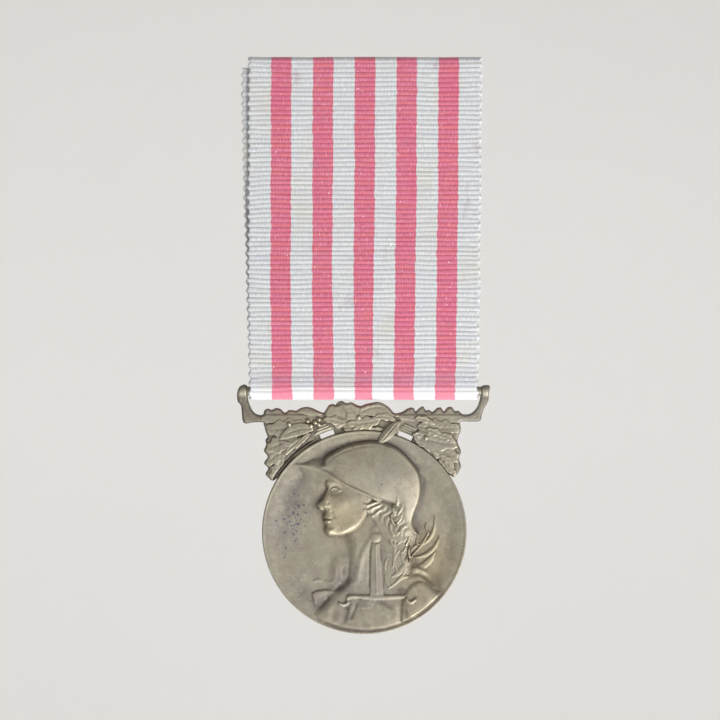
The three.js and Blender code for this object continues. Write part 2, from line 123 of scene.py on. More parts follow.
def spline(points, closed=True, steps=6):
    """A smooth curve through points (Catmull-Rom), as an array of points."""
    p = np.array(points, float)
    if closed:
        p = np.vstack([p[-1], p, p[:2]])
    else:
        p = np.vstack([2 * p[0] - p[1], p, 2 * p[-1] - p[-2]])
    t = np.linspace(0, 1, steps, endpoint=False)[:, None]
    parts = []
    for a, b, c, d in zip(p, p[1:], p[2:], p[3:]):
        square, cube = 2 * a - 5 * b + 4 * c - d, 3 * b - a - 3 * c + d
        parts.append(0.5 * (2 * b + (c - a) * t + square * t**2 + cube * t**3))
    curve = np.vstack(parts)
    return curve if closed else np.vstack([curve, p[-2]])


def bend_line(start, end, bend=0.0):
    """A gently curved line: its middle stands aside by bend times its length."""
    a, b = np.array(start, float), np.array(end, float)
    side = np.array([a[1] - b[1], b[0] - a[0]])
    control = (a + b) / 2 + side * bend * 2
    t = np.linspace(0, 1, 9)[:, None]
    return (1 - t) ** 2 * a + 2 * t * (1 - t) * control + t**2 * b


def leaf_outline(axis, width, lobes=0):
    """The outline round a leaf's axis. lobes=0 is a plain pointed blade; otherwise its sides are lobed."""
    fullness, notch, thinnest = 0.75, 0.3, 0.03
    t = np.linspace(0, 1, 8 * max(lobes, 3) + 1)
    centre = np.column_stack([np.interp(t, np.linspace(0, 1, len(axis)), axis[:, k]) for k in (0, 1)])
    along = np.gradient(centre, axis=0)
    along /= np.linalg.norm(along, axis=1)[:, None]
    side = np.column_stack([-along[:, 1], along[:, 0]])
    half = width / 2 * np.sin(np.pi * t**0.85) ** fullness
    if lobes:
        half = half * (1 - notch * (0.5 + 0.5 * np.cos(2 * np.pi * lobes * t)))
    half = np.maximum(half, thinnest)[:, None]
    return np.vstack([centre + side * half, (centre - side * half)[::-1]])


class Relief:
    """Heights, in millimetres, over points of the plane. x runs right and z up, seen from the face."""

    def __init__(self, x, z):
        self.x, self.z = np.ravel(x), np.ravel(z)
        self.h = np.zeros(self.x.shape)

    def near(self, line, margin):
        """The points in the box round a line or outline, with a margin."""
        low, high = line.min(0) - margin, line.max(0) + margin
        across = (self.x > low[0]) & (self.x < high[0])
        return np.nonzero(across & (self.z > low[1]) & (self.z < high[1]))[0]

    def along(self, line, index, closed=False):
        """Distance to a line, the share of its length at the nearest point, and which side it lies on."""
        x, z = self.x[index], self.z[index]
        points = np.vstack([line, line[:1]]) if closed else line
        lengths = np.linalg.norm(np.diff(points, axis=0), axis=1)
        starts = np.concatenate([[0], np.cumsum(lengths)])
        best = np.full(x.shape, 1e9)
        share, side = np.zeros(x.shape), np.zeros(x.shape)
        for i, (a, b) in enumerate(zip(points, points[1:])):
            dx, dz = b - a
            t = np.clip(((x - a[0]) * dx + (z - a[1]) * dz) / max(lengths[i] ** 2, 1e-12), 0, 1)
            ox, oz = x - a[0] - t * dx, z - a[1] - t * dz
            d = ox * ox + oz * oz
            closer = d < best
            best[closer] = d[closer]
            share[closer] = (starts[i] + t[closer] * lengths[i]) / starts[-1]
            side[closer] = (dx * oz - dz * ox)[closer]
        return np.sqrt(best), share, np.sign(side)

    def depth(self, outline, index):
        """How far inside an outline each point lies; negative outside."""
        x, z = self.x[index], self.z[index]
        distance = self.along(outline, index, closed=True)[0]
        inside = np.zeros(x.shape, bool)
        for a, b in zip(outline, np.roll(outline, -1, axis=0)):
            crosses = (a[1] > z) != (b[1] > z)
            with np.errstate(divide="ignore", invalid="ignore"):
                inside ^= crosses & (x < (b[0] - a[0]) * (z - a[1]) / (b[1] - a[1]) + a[0])
        return np.where(inside, distance, -distance)

    def lay(self, index, depth, top, cut=0.0):
        """Lays a form on what is there, where depth is above nought, and takes cut off round it."""
        here = self.h[index]
        self.h[index] = np.where(depth > 0, np.maximum(here, top), here - cut)

    def pad(self, outline, height, edge, floor=0.0, crown=0.0, crown_width=3.0, undercut=0.0, soft=False):
        """A raised form with a quarter-round edge, never below what is there. crown adds a broad swelling.

        A soft form has an S-shaped edge instead, that starts a little outside its outline.
        """
        index = self.near(outline, 0.6 + edge)
        d = self.depth(outline, index)
        if soft:
            top = (floor + height) * smooth_step(d, -0.45 * edge, 0.75 * edge) + crown * swell(d, crown_width)
            self.h[index] = np.maximum(self.h[index], top)
            return index, d
        top = floor + height * swell(d, edge) + crown * swell(d, crown_width)
        self.lay(index, d, top, undercut * bell(np.minimum(d, 0), 0.13) * (d < 0))
        return index, d

    def stroke(self, line, height, width, head=0.15, tail=0.15):
        """A ridge (or, with a negative height, a groove) along a line, fading at both ends."""
        index = self.near(line, width * 3)
        distance, share, _ = self.along(line, index)
        fade = smooth_step(share, -0.01, head) * smooth_step(-share, -1.01, -1 + tail)
        self.h[index] += height * fade * bell(distance, width)

    def leaf(self, start, end, width, height, floor=0.0, bend=0.0, lobes=0, undercut=0.05, lean=0.0):
        """A leaf from its stalk to its tip: a crisp edge, and a low swelling with a fine midrib and veins.

        lean tips it across, so that the side on its axis's right stands up.
        """
        axis = bend_line(start, end, bend)
        outline = leaf_outline(axis, width, lobes)
        index = self.near(outline, 0.4)
        d = self.depth(outline, index)
        away, share, side = self.along(axis, index)
        dome = height * (0.88 * swell(d, 0.12) + 0.12 * swell(d, width * 0.45))
        dome *= 1 - 0.3 * bell(away, 0.04 * width + 0.07) * smooth_step(-share, -0.97, -0.6)
        length = np.linalg.norm(np.subtract(end, start))
        veins = np.sin(2 * np.pi * (share * length - away * 0.8) / 0.85)
        dome += 0.05 * height * veins * smooth_step(d, 0.1, 0.3)
        dome -= lean * side * away / width * swell(d, 0.2)
        self.lay(index, d, floor + dome, undercut * bell(d, 0.12))

    def blade(self, start, end, width, height, floor, bend):
        """A narrow laurel leaf like a low roof: its midrib is its ridge, so one side catches the light."""
        axis = bend_line(start, end, bend)
        outline = leaf_outline(axis, width)
        index = self.near(outline, 0.3)
        d = self.depth(outline, index)
        away = self.along(axis, index)[0]
        roof = height * (0.7 * swell(d, 0.12) + 0.3 * d / np.maximum(d + away, 1e-6))
        self.lay(index, d, floor + roof, 0.02 * bell(d, 0.12))

    def bead(self, centre, radius, height, floor):
        """A round berry or knob."""
        index = self.near(np.array([centre, centre], float), radius * 1.2)
        away = np.hypot(self.x[index] - centre[0], self.z[index] - centre[1])
        self.lay(index, radius - away, floor + height * half_round(away, radius))


def blur(grid, radius):
    """A box blur over a grid's rows and columns, done twice."""
    span = 2 * radius + 1
    for axis in (0, 1, 0, 1):
        before = np.repeat(grid.take([0], axis), radius + 1, axis)
        after = np.repeat(grid.take([-1], axis), radius, axis)
        total = np.cumsum(np.concatenate([before, grid, after], axis), axis)
        count = grid.shape[axis]
        grid = (total.take(range(span, span + count), axis) - total.take(range(count), axis)) / span
    return grid


def wear_of(grid, step):
    """Where a struck surface is rubbed bright (towards 1) or holds dark patina (towards 0)."""
    fine = grid - blur(grid, max(1, round(0.35 / step)))
    broad = grid - blur(grid, max(1, round(1.3 / step)))
    return np.clip(0.5 + 1.1 * fine + 0.7 * broad, 0, 1)


# --- Meshes ---


def make_mesh(name, points, faces, material, sharp_degrees=None):
    """A smooth-shaded object from points in millimetres of the CAD frame."""
    mesh = bpy.data.meshes.new(name)
    mesh.from_pydata(np.asarray(points, float) * MM, [], faces)
    mesh.polygons.foreach_set("use_smooth", np.ones(len(mesh.polygons), bool))
    if sharp_degrees:
        mesh.set_sharp_from_angle(angle=math.radians(sharp_degrees))
    mesh.materials.append(material)
    piece = bpy.data.objects.new(name, mesh)
    bpy.context.scene.collection.objects.link(piece)
    return piece


def store(piece, name, values):
    attribute = piece.data.attributes.new(name, "FLOAT", "POINT")
    attribute.data.foreach_set("value", np.asarray(values, np.float32))


def grid_quads(ids):
    """The quads of a grid of point numbers, one row of four numbers each."""
    return np.column_stack([v.ravel() for v in (ids[:-1, :-1], ids[1:, :-1], ids[1:, 1:], ids[:-1, 1:])])


def strip_between(lower, upper):
    """Quads between two closed rings of the same length."""
    a, b = np.asarray(lower), np.asarray(upper)
    return np.column_stack([a, np.roll(a, -1), np.roll(b, -1), b]).tolist()


def zip_rings(first, first_angles, second, second_angles):
    """Triangles between two closed rings that may differ in length. Both run anticlockwise."""
    faces, i, j = [], 0, 0
    n, m = len(first), len(second)
    while i < n or j < m:
        next_i = first_angles[(i + 1) % n] + (2 * np.pi if i + 1 >= n else 0)
        next_j = second_angles[(j + 1) % m] + (2 * np.pi if j + 1 >= m else 0)
        if j >= m or (i < n and next_i <= next_j):
            faces.append((first[i % n], first[(i + 1) % n], second[j % m]))
            i += 1
        else:
            faces.append((first[i % n], second[(j + 1) % m], second[j % m]))
            j += 1
    return faces


# --- Materials ---


class Shader:
    """A short way to write a node material."""

    def __init__(self, name, **values):
        self.material = bpy.data.materials.new(name)
        self.material.use_nodes = True
        self.tree = self.material.node_tree
        self.surface = self.tree.nodes["Principled BSDF"]
        for socket, value in values.items():
            self.surface.inputs[socket.replace("_", " ")].default_value = value

    def node(self, kind, inputs=(), **settings):
        node = self.tree.nodes.new(kind)
        for key, value in settings.items():
            setattr(node, key, value)
        for key, value in dict(inputs).items():
            self.feed(node.inputs[key], value)
        return node

    def feed(self, socket, value):
        if isinstance(value, bpy.types.NodeSocket):
            self.tree.links.new(value, socket)
        else:
            socket.default_value = value

    def put(self, name, value):
        """Sets or links one of the surface shader's own sockets."""
        self.feed(self.surface.inputs[name], value)

    def math(self, operation, a, b=0.0, c=0.0):
        return self.node("ShaderNodeMath", {0: a, 1: b, 2: c}, operation=operation).outputs[0]

    def times(self, a, b):
        return self.math("MULTIPLY", a, b)

    def noise(self, vector, scale, detail=3.0, roughness=0.5):
        inputs = {"Vector": vector, "Scale": scale, "Detail": detail, "Roughness": roughness}
        return self.node("ShaderNodeTexNoise", inputs).outputs[0]

    def ramp(self, value, low, high, start=0.0, end=1.0):
        """value from low to high, mapped smoothly to start and end."""
        inputs = {"Value": value, "From Min": low, "From Max": high, "To Min": start, "To Max": end}
        return self.node("ShaderNodeMapRange", inputs, interpolation_type="SMOOTHSTEP").outputs[0]

    def mix(self, share, a, b):
        node = self.node("ShaderNodeMix", data_type="RGBA")
        self.feed(node.inputs[0], share)
        self.feed(node.inputs[6], a)
        self.feed(node.inputs[7], b)
        return node.outputs[2]

    def bump(self, height, distance, strength):
        inputs = {"Height": height, "Distance": distance, "Strength": strength}
        self.put("Normal", self.node("ShaderNodeBump", inputs).outputs[0])

    def place(self, scale=(1, 1, 1)):
        """Position on the object, stretched by scale."""
        position = self.node("ShaderNodeTexCoord").outputs["Object"]
        return self.node("ShaderNodeMapping", {"Vector": position, "Scale": scale}).outputs[0]

    def attribute(self, name):
        return self.node("ShaderNodeAttribute", attribute_name=name).outputs["Fac"]


def rgb(red, green, blue):
    """A colour from its sRGB values, 0 to 255, as a linear RGBA."""
    values = (red / 255, green / 255, blue / 255)
    return tuple(v / 12.92 if v <= 0.04045 else ((v + 0.055) / 1.055) ** 2.4 for v in values) + (1.0,)


def bronze_material():
    """Struck bronze: olive-brown patina, darker in the hollows, rubbed on the heights, blue-grey spots; on
    the obverse also painted shade and painted highlights.
    """
    s = Shader("struck_bronze", Metallic=1.0)
    place = s.place()
    # This attribute holds rubbing and patina, and on the obverse also painted shade and painted highlights;
    # the hollow and bright colours below paint both.
    wear_and_painted_light = s.attribute("wear_and_painted_light")
    cloud = s.noise(place, 130, 4.0, 0.6)
    grain = s.noise(place, 2600, 3.0, 0.6)
    uneven = s.math("MULTIPLY_ADD", cloud, 0.35, s.math("SUBTRACT", wear_and_painted_light, 0.175))
    hollow, body, bright = rgb(110, 103, 97), rgb(149, 144, 129), rgb(180, 173, 152)
    warm = s.noise(place, 60, 2.0)
    mottle = s.noise(place, 900, 4.0, 0.65)
    dust = s.ramp(s.noise(place, 3000, 1.0), 0.73, 0.77)
    spots = s.ramp(s.attribute("spots"), 0.35, 0.6)
    colour = s.mix(s.ramp(uneven, 0.18, 0.5), hollow, body)
    tints = [
        (s.ramp(uneven, 0.52, 0.95), bright),
        (s.ramp(warm, 0.5, 0.68, 0, 0.4), rgb(162, 147, 114)),
        (s.ramp(warm, 0.5, 0.3, 0, 0.45), rgb(140, 136, 136)),
        (s.ramp(mottle, 0.5, 0.68, 0, 0.4), rgb(171, 167, 149)),
        (s.ramp(mottle, 0.5, 0.34, 0, 0.4), rgb(133, 122, 111)),
        (s.times(dust, 0.4), rgb(214, 212, 204)),
        (s.times(spots, 0.65), rgb(92, 95, 116)),
    ]
    for share, tint in tints:
        colour = s.mix(share, colour, tint)
    s.put("Base Color", colour)
    rough = s.math("MULTIPLY_ADD", grain, 0.16, s.ramp(uneven, 0.3, 0.9, 0.6, 0.46))
    s.put("Roughness", s.math("MAXIMUM", rough, s.times(spots, 0.75)))
    relief = s.math("MULTIPLY_ADD", grain, 0.5, s.noise(place, 700, 3.0))
    s.bump(relief, 0.00005, 0.5)
    return s.material


def plain_metal(name, base, dark, roughness, brush=(1, 1, 1)):
    """Rolled or drawn metal, lightly tarnished, with a fine grain drawn out along one way."""
    s = Shader(name, Metallic=1.0)
    tarnish = s.noise(s.place(), 240, 4.0, 0.6)
    grain = s.noise(s.place(brush), 900, 3.0)
    s.put("Base Color", s.mix(s.ramp(tarnish, 0.35, 0.7), base, dark))
    rough = s.math("MULTIPLY_ADD", grain, 0.2, s.ramp(tarnish, 0.3, 0.7, roughness - 0.1, roughness + 0.06))
    s.put("Roughness", rough)
    s.bump(grain, 0.00002, 0.4)
    return s.material


STRIPE_PITCH = 6.68
STRIPE_WIDTH = 3.25
STRIPES = 5
RIB_PITCH = 0.75
YARN_PITCH = 0.19


def ribbon_material():
    """Warp-faced grosgrain: dyed warp stripes over thick weft ribs. UVs run in units of 100 mm."""
    s = Shader("striped_grosgrain", Sheen_Weight=0.25, Sheen_Roughness=0.5, Specular_IOR_Level=0.35)
    uv = s.node("ShaderNodeUVMap", uv_map="cloth").outputs[0]
    parts = s.node("ShaderNodeSeparateXYZ", {0: uv})
    across = s.times(parts.outputs[0], 100)
    along = s.times(parts.outputs[1], 100)
    cloth = s.node("ShaderNodeCombineXYZ", {0: across, 1: along}).outputs[0]

    def cloth_noise(x, y, detail=2.0, roughness=0.5):
        stretched = s.node("ShaderNodeMapping", {"Vector": cloth, "Scale": (x, y, 1)}).outputs[0]
        return s.noise(stretched, 1.0, detail, roughness)

    # A warp end strays a little from rib to rib.
    wander = s.math("MULTIPLY_ADD", cloth_noise(0.9, 1.33), 0.5, -0.25)
    straying = s.math("ADD", across, wander)
    period = s.math("ABSOLUTE", s.math("WRAP", straying, STRIPE_PITCH / 2, -STRIPE_PITCH / 2))
    stripe = s.ramp(period, STRIPE_WIDTH / 2 - 0.06, STRIPE_WIDTH / 2 + 0.06, 1, 0)
    inside = s.math("LESS_THAN", s.math("ABSOLUTE", across), STRIPE_PITCH * STRIPES / 2)
    red = s.times(stripe, inside)

    long_ends = cloth_noise(6.0, 0.12)  # single warp ends, drawn out lengthwise
    dashes = cloth_noise(6.5, 1.25, 1.0)  # the same ends where they rise over single ribs
    ends = s.math("MULTIPLY_ADD", long_ends, 0.35, s.times(dashes, 0.65))
    wefts = cloth_noise(0.16, 1.33, 1.0)
    clouds = cloth_noise(0.16, 0.11, 3.0)
    white = s.mix(s.ramp(ends, 0.3, 0.7), rgb(184, 188, 192), rgb(208, 211, 212))
    white = s.mix(s.ramp(clouds, 0.45, 0.72, 0, 0.55), white, rgb(196, 193, 180))
    white = s.mix(s.ramp(wefts, 0.5, 0.72, 0, 0.4), white, rgb(184, 187, 200))
    coral = s.mix(s.ramp(ends, 0.3, 0.7), rgb(190, 86, 116), rgb(208, 126, 148))
    coral = s.mix(s.ramp(wefts, 0.42, 0.66, 0, 0.55), coral, rgb(206, 108, 108))
    coral = s.mix(s.ramp(clouds, 0.42, 0.74, 0, 0.6), coral, rgb(200, 94, 128))
    glint = s.times(s.ramp(dashes, 0.6, 0.74), s.ramp(cloth_noise(6.5, 0.5, 1.0), 0.45, 0.6))
    stain = s.ramp(cloth_noise(0.2, 0.14, 3.0, 0.6), 0.6, 0.74)
    lint = s.ramp(cloth_noise(2.0, 2.2, 1.5), 0.73, 0.77)
    colour = s.mix(red, white, coral)
    # What lies over both: where it is, how strongly, and its colour over white and over coral.
    layers = [
        (glint, 0.5, rgb(230, 232, 234), rgb(238, 190, 200)),
        # painted shade in the grooves between the ribs
        (s.attribute("groove"), 0.6, rgb(146, 146, 150), rgb(160, 58, 86)),
        (stain, 0.4, rgb(150, 112, 128), None),
        # painted shade in a band just above the fold
        (s.attribute("shade_above_fold"), 0.22, rgb(132, 126, 146), None),
        (lint, 0.8, rgb(250, 248, 250), None),
        # painted highlight: paler cloth round the fold under the bar
        (s.attribute("fold_highlight"), 0.55, rgb(226, 226, 228), rgb(226, 134, 154)),
    ]
    for where, share, over_white, over_coral in layers:
        tint = s.mix(red, over_white, over_coral) if over_coral else over_white
        colour = s.mix(s.times(where, share), colour, tint)
    s.put("Base Color", colour)
    s.put("Roughness", s.ramp(ends, 0.2, 0.8, 0.52, 0.7))
    yarn = s.math("SINE", s.times(across, 2 * math.pi / YARN_PITCH))
    twill = s.math("MULTIPLY_ADD", ends, 0.8, s.times(yarn, 0.35))
    s.bump(twill, 0.00004, 0.6)
    return s.material


def thread_material():
    """Twisted cotton, a little fuzzy."""
    s = Shader("cotton_thread", Sheen_Weight=0.3, Roughness=0.85)
    fibre = s.noise(s.place((1, 1, 6)), 1500, 3.0)
    colour = s.mix(s.ramp(fibre, 0.3, 0.7), rgb(196, 188, 170), rgb(232, 226, 210))
    s.put("Base Color", colour)
    s.bump(fibre, 0.00005, 0.8)
    return s.material


bronze = bronze_material()
brass = plain_metal("rolled_brass", rgb(196, 168, 104), rgb(142, 116, 70), 0.36, (1, 20, 12))
steel = plain_metal("drawn_steel", rgb(196, 194, 188), rgb(150, 146, 138), 0.3, (1, 14, 14))
solder = plain_metal("toned_solder", rgb(164, 152, 128), rgb(112, 98, 74), 0.5)
grosgrain = ribbon_material()
cotton = thread_material()

# --- Obverse of the disc: a helmeted bust behind a sword hilt and a laurel branch ---

FIELD_Y = 0.72  # half the disc's thickness between its two fields
DISH = 0.33  # how far the field rises towards the rim
RIM_HEIGHT = 0.4
RIM_R = DISC_R - 0.42  # inner edge of the narrow front rim
BRIM = [
    (-10.9, 10.95), (-8.2, 10.45), (-6.3, 9.65), (-4.9, 8.75), (-3.1, 7.6), (0.0, 6.15), (2.4, 5.05),
    (4.6, 4.3),
]
HELMET = [
    (-10.9, 11.0), (-8.8, 11.28), (-7.0, 11.2), (-6.35, 12.2), (-5.0, 13.2), (-2.3, 14.4), (1.5, 14.95),
    (4.9, 14.05), (7.2, 12.0), (8.8, 9.7), (9.2, 7.6), (9.0, 5.4), (8.1, 2.9), (7.9, 1.4), (8.8, -0.5),
    (6.6, 0.2), (5.4, 2.6),
] + BRIM[:0:-1]


def profile_of_head(chin, crown, face_x):
    """A calm profile by the drawing-book canon, facing left.

    Brow, nose base and chin are one third of the face apart. Those heights come back with the outline.
    """
    third = (crown - chin) * 0.29
    base = chin + third
    brow = base + third
    mouth = base - third * 0.36
    rows = [
        (0.9, brow + third * 0.5), (0.28, brow + third * 0.3), (0.0, brow), (0.32, brow - third * 0.2),
        (-0.35, brow - third * 0.55), (-1.1, base + third * 0.26), (-1.2, base + third * 0.12),
        (-0.85, base - third * 0.02), (0.0, base - third * 0.06), (-0.12, mouth + third * 0.16),
        (-0.3, mouth + third * 0.08), (-0.02, mouth), (-0.2, mouth - third * 0.1),
        (0.16, mouth - third * 0.22), (0.2, mouth - third * 0.3), (-0.02, chin + third * 0.2),
        (0.3, chin + third * 0.03), (0.9, chin - third * 0.03),
    ]
    return [(face_x + x, z) for x, z in rows], third, base, brow, mouth


def carve_head(r):
    """Neck, face, eye, lips and jaw, under the helmet."""
    chin, crown, face_x = -0.5, 13.9, -6.4
    front, third, base, brow, mouth = profile_of_head(chin, crown, face_x)
    eye_z = chin + (crown - chin) / 2 + 0.1  # the eyes lie halfway down the head

    throat = face_x + 4.1
    neck = spline([
        (throat - 0.2, chin + 1.4), (throat, chin - 1.2), (throat + 0.05, chin - 4.0),
        (throat - 0.2, chin - 6.4), (throat + 0.6, chin - 9.2), (6.8, chin - 8.0), (7.4, -3.0), (7.8, 1.2),
        (3.0, 5.2),
    ])
    r.pad(neck, 0.46, 1.6, crown=0.1, crown_width=3.2, soft=True)
    sinew = [(throat + 5.0, chin + 2.4), (throat + 2.2, chin - 2.4), (throat + 1.0, chin - 8.0)]
    hollow = [(throat + 3.4, chin + 0.6), (throat + 1.3, chin - 3.4), (throat + 0.5, chin - 7.6)]
    r.stroke(spline(sinew, False), 0.09, 0.6)
    r.stroke(spline(hollow, False), -0.05, 0.4)

    jaw = [
        (throat - 1.0, chin + 0.02), (throat + 1.4, chin + 1.3), (throat + 3.0, chin + 3.7),
        (throat + 3.7, chin + 6.4),
    ]
    face = spline(front + jaw + [(0.6, 7.4), (-3.2, 9.2)], steps=8)
    index, d = r.pad(face, 0.5, 0.75, crown=0.32, crown_width=3.6, undercut=0.05)

    def swelling(x, z, rx, rz, height, tilt=0.0):
        """A soft rise (or hollow) in the cheek's surface, kept inside the face."""
        c, s = math.cos(math.radians(tilt)), math.sin(math.radians(tilt))
        px, pz = r.x[index] - x, r.z[index] - z
        u, v = (px * c + pz * s) / rx, (-px * s + pz * c) / rz
        r.h[index] += height * np.exp(-(u * u + v * v)) * smooth_step(d, 0.0, 0.5)

    def line(start, end, bend, height, width, head=0.15, tail=0.15):
        """A short ridge or groove. Its ends' x is counted from the front of the face."""
        (x1, z1), (x2, z2) = start, end
        r.stroke(bend_line((face_x + x1, z1), (face_x + x2, z2), bend), height, width, head, tail)

    eye_x = face_x + 1.75
    swelling(eye_x - 0.1, eye_z - 0.05, 1.15, 0.62, -0.3)  # socket
    swelling(eye_x - 0.6, brow + 0.25, 1.5, 0.45, 0.16, -8)  # brow ridge
    swelling(face_x + 3.0, eye_z - 1.9, 1.6, 0.9, 0.13, 20)  # cheekbone
    swelling(face_x + 2.6, mouth + 0.4, 1.3, 1.0, -0.07)  # hollow beside the mouth
    swelling(face_x + 0.75, chin + 0.85, 0.75, 0.7, 0.15)  # chin
    swelling(face_x + 0.55, mouth - third * 0.34, 0.7, 0.28, -0.14)  # crease under the lip
    swelling(face_x + 3.9, chin + 1.2, 1.6, 0.7, 0.14, 32)  # jaw
    swelling(face_x + 0.2, base + third * 0.4, 0.5, 1.1, 0.12, 20)  # bridge of the nose
    swelling(face_x + 0.25, base + third * 0.15, 0.42, 0.4, 0.13)  # wing of the nose
    line((0.75, base + third * 0.32), (0.62, base - third * 0.02), -0.25, -0.08, 0.16)  # behind the wing
    line((-0.45, base + 0.1), (0.15, base + 0.12), 0.2, -0.16, 0.13)  # nostril
    line((0.95, base - 0.1), (1.5, mouth + 0.15), 0.1, -0.06, 0.22)  # from the nose to beside the mouth

    eye = spline([
        (eye_x - 0.72, eye_z), (eye_x - 0.4, eye_z + 0.34), (eye_x + 0.1, eye_z + 0.33),
        (eye_x + 0.75, eye_z - 0.1), (eye_x + 0.1, eye_z - 0.3), (eye_x - 0.4, eye_z - 0.3),
    ])
    eye_index = r.near(eye, 0.2)
    eye_depth = r.depth(eye, eye_index)
    r.h[eye_index] += 0.15 * swell(eye_depth, 0.45) * (eye_depth > 0)
    upper = spline([
        (eye_x - 0.8, eye_z + 0.05), (eye_x - 0.38, eye_z + 0.4), (eye_x + 0.2, eye_z + 0.38),
        (eye_x + 0.95, eye_z - 0.12),
    ], False)
    lower = spline([
        (eye_x - 0.68, eye_z - 0.1), (eye_x - 0.2, eye_z - 0.38), (eye_x + 0.6, eye_z - 0.24),
    ], False)
    r.stroke(upper, 0.17, 0.12)
    r.stroke(upper + [0.0, 0.25], -0.12, 0.12)
    r.stroke(lower, 0.1, 0.11)
    pupil = np.array([(eye_x - 0.4, eye_z + 0.12), (eye_x - 0.4, eye_z - 0.08)])
    r.stroke(pupil, -0.1, 0.12, 0.01, 0.01)

    line((-0.1, mouth), (1.3, mouth - 0.06), 0.05, -0.17, 0.12, 0.05, 0.3)  # between the lips
    line((-0.1, mouth + 0.3), (1.1, mouth + 0.14), 0.1, 0.1, 0.17, 0.05, 0.4)  # upper lip
    line((-0.05, mouth - 0.34), (0.95, mouth - 0.18), -0.1, 0.12, 0.2, 0.05, 0.4)  # lower lip


def carve_hair(r):
    """Wavy hair that shows between the helmet and the jaw, ending in small curls before the ear."""
    mass = spline([
        (-0.4, 4.9), (-0.3, 3.6), (0.6, 2.5), (1.5, 1.4), (2.3, -0.2), (3.6, -1.4), (6.2, -1.9),
        (7.9, -0.6), (8.0, 1.6), (5.4, 4.2), (2.4, 5.4),
    ])
    r.pad(mass, 0.6, 0.7, crown=0.12, crown_width=2.0, soft=True)
    nape = spline([
        (3.2, 5.0), (3.3, 3.2), (4.2, 1.0), (5.4, -0.9), (7.0, -1.4), (8.3, -0.2), (7.9, 2.0), (6.5, 4.5),
    ])
    r.pad(nape, 0.92, 2.2, soft=True)
    for k in range(8):
        x, z = 1.9 + 0.78 * k, 5.0 - 0.38 * k
        fall = 1.0 + 0.3 * k
        lock = spline([
            (x, z), (x - 0.5, z - 0.35 * fall), (x - 1.3, z - 0.55 * fall), (x - 1.5, z - 0.95 * fall),
            (x - 1.1 - 0.06 * k, z - 1.25 * fall),
        ], False)
        r.stroke(lock, 0.06, 0.24, 0.05, 0.35)
        r.stroke(lock + [0.34, -0.12], -0.045, 0.15, 0.05, 0.35)
    curls = [
        [(2.6, 5.05), (1.5, 4.8), (0.5, 4.45), (-0.25, 4.75)],
        [(2.7, 4.6), (1.5, 4.1), (0.6, 3.6), (-0.15, 3.85)],
        [(2.9, 4.1), (1.9, 3.2), (1.1, 2.7), (0.4, 2.95)],
    ]
    for curl in curls:
        r.stroke(spline(curl, False), 0.12, 0.2, 0.2, 0.1)
        r.stroke(spline(curl, False) + [0.05, 0.32], -0.05, 0.13, 0.2, 0.2)


def carve_helmet(r):
    """A ridged steel helmet: its dome, the crest's welt along its upper left, and the brim's long peak."""
    outline = spline(HELMET, steps=5)
    index = r.near(outline, 1.8)
    d = r.depth(outline, index)
    x = r.x[index]
    edge = 1.0 - 0.5 * smooth_step(x, 3.0, 8.0)
    dome = 0.62 * smooth_step(d, -0.4 * edge, 0.8 * edge) + 0.6 * swell(d, 7.0)
    r.h[index] = np.maximum(r.h[index], dome)
    at_crest = smooth_step(-x, -6.0, 0.0) * (r.z[index] > 11.4) * (x > -6.4)
    welt, seam = bell(d - 0.5, 0.13), bell(d - 0.85, 0.16)
    r.h[index] += at_crest * (0.05 * welt - 0.05 * seam)
    brim = spline(BRIM, False, 6)
    index = r.near(brim, 3.0)
    away, share, side = r.along(brim, index)
    free = smooth_step(share, 0.0, 0.16) * smooth_step(-share, -0.5, -0.28)  # where the peak stands clear
    height = 0.5 + 0.5 * smooth_step(share, 0.0, 0.4) - 0.14 * smooth_step(share, 0.6, 1.0)
    reach = np.where(side < 0, 0.24 + 1.25 * free, 0.24 + 1.1 * smooth_step(share, 0.0, 0.2))
    lip = height * np.exp(-((away / reach) ** np.where(side < 0, 1.25, 2.0)))
    lip *= smooth_step(-share, -0.999, -0.8)
    r.h[index] = np.maximum(r.h[index], lip)
    r.stroke(brim + [0.2, 0.4], -0.04, 0.18, 0.3, 0.3)


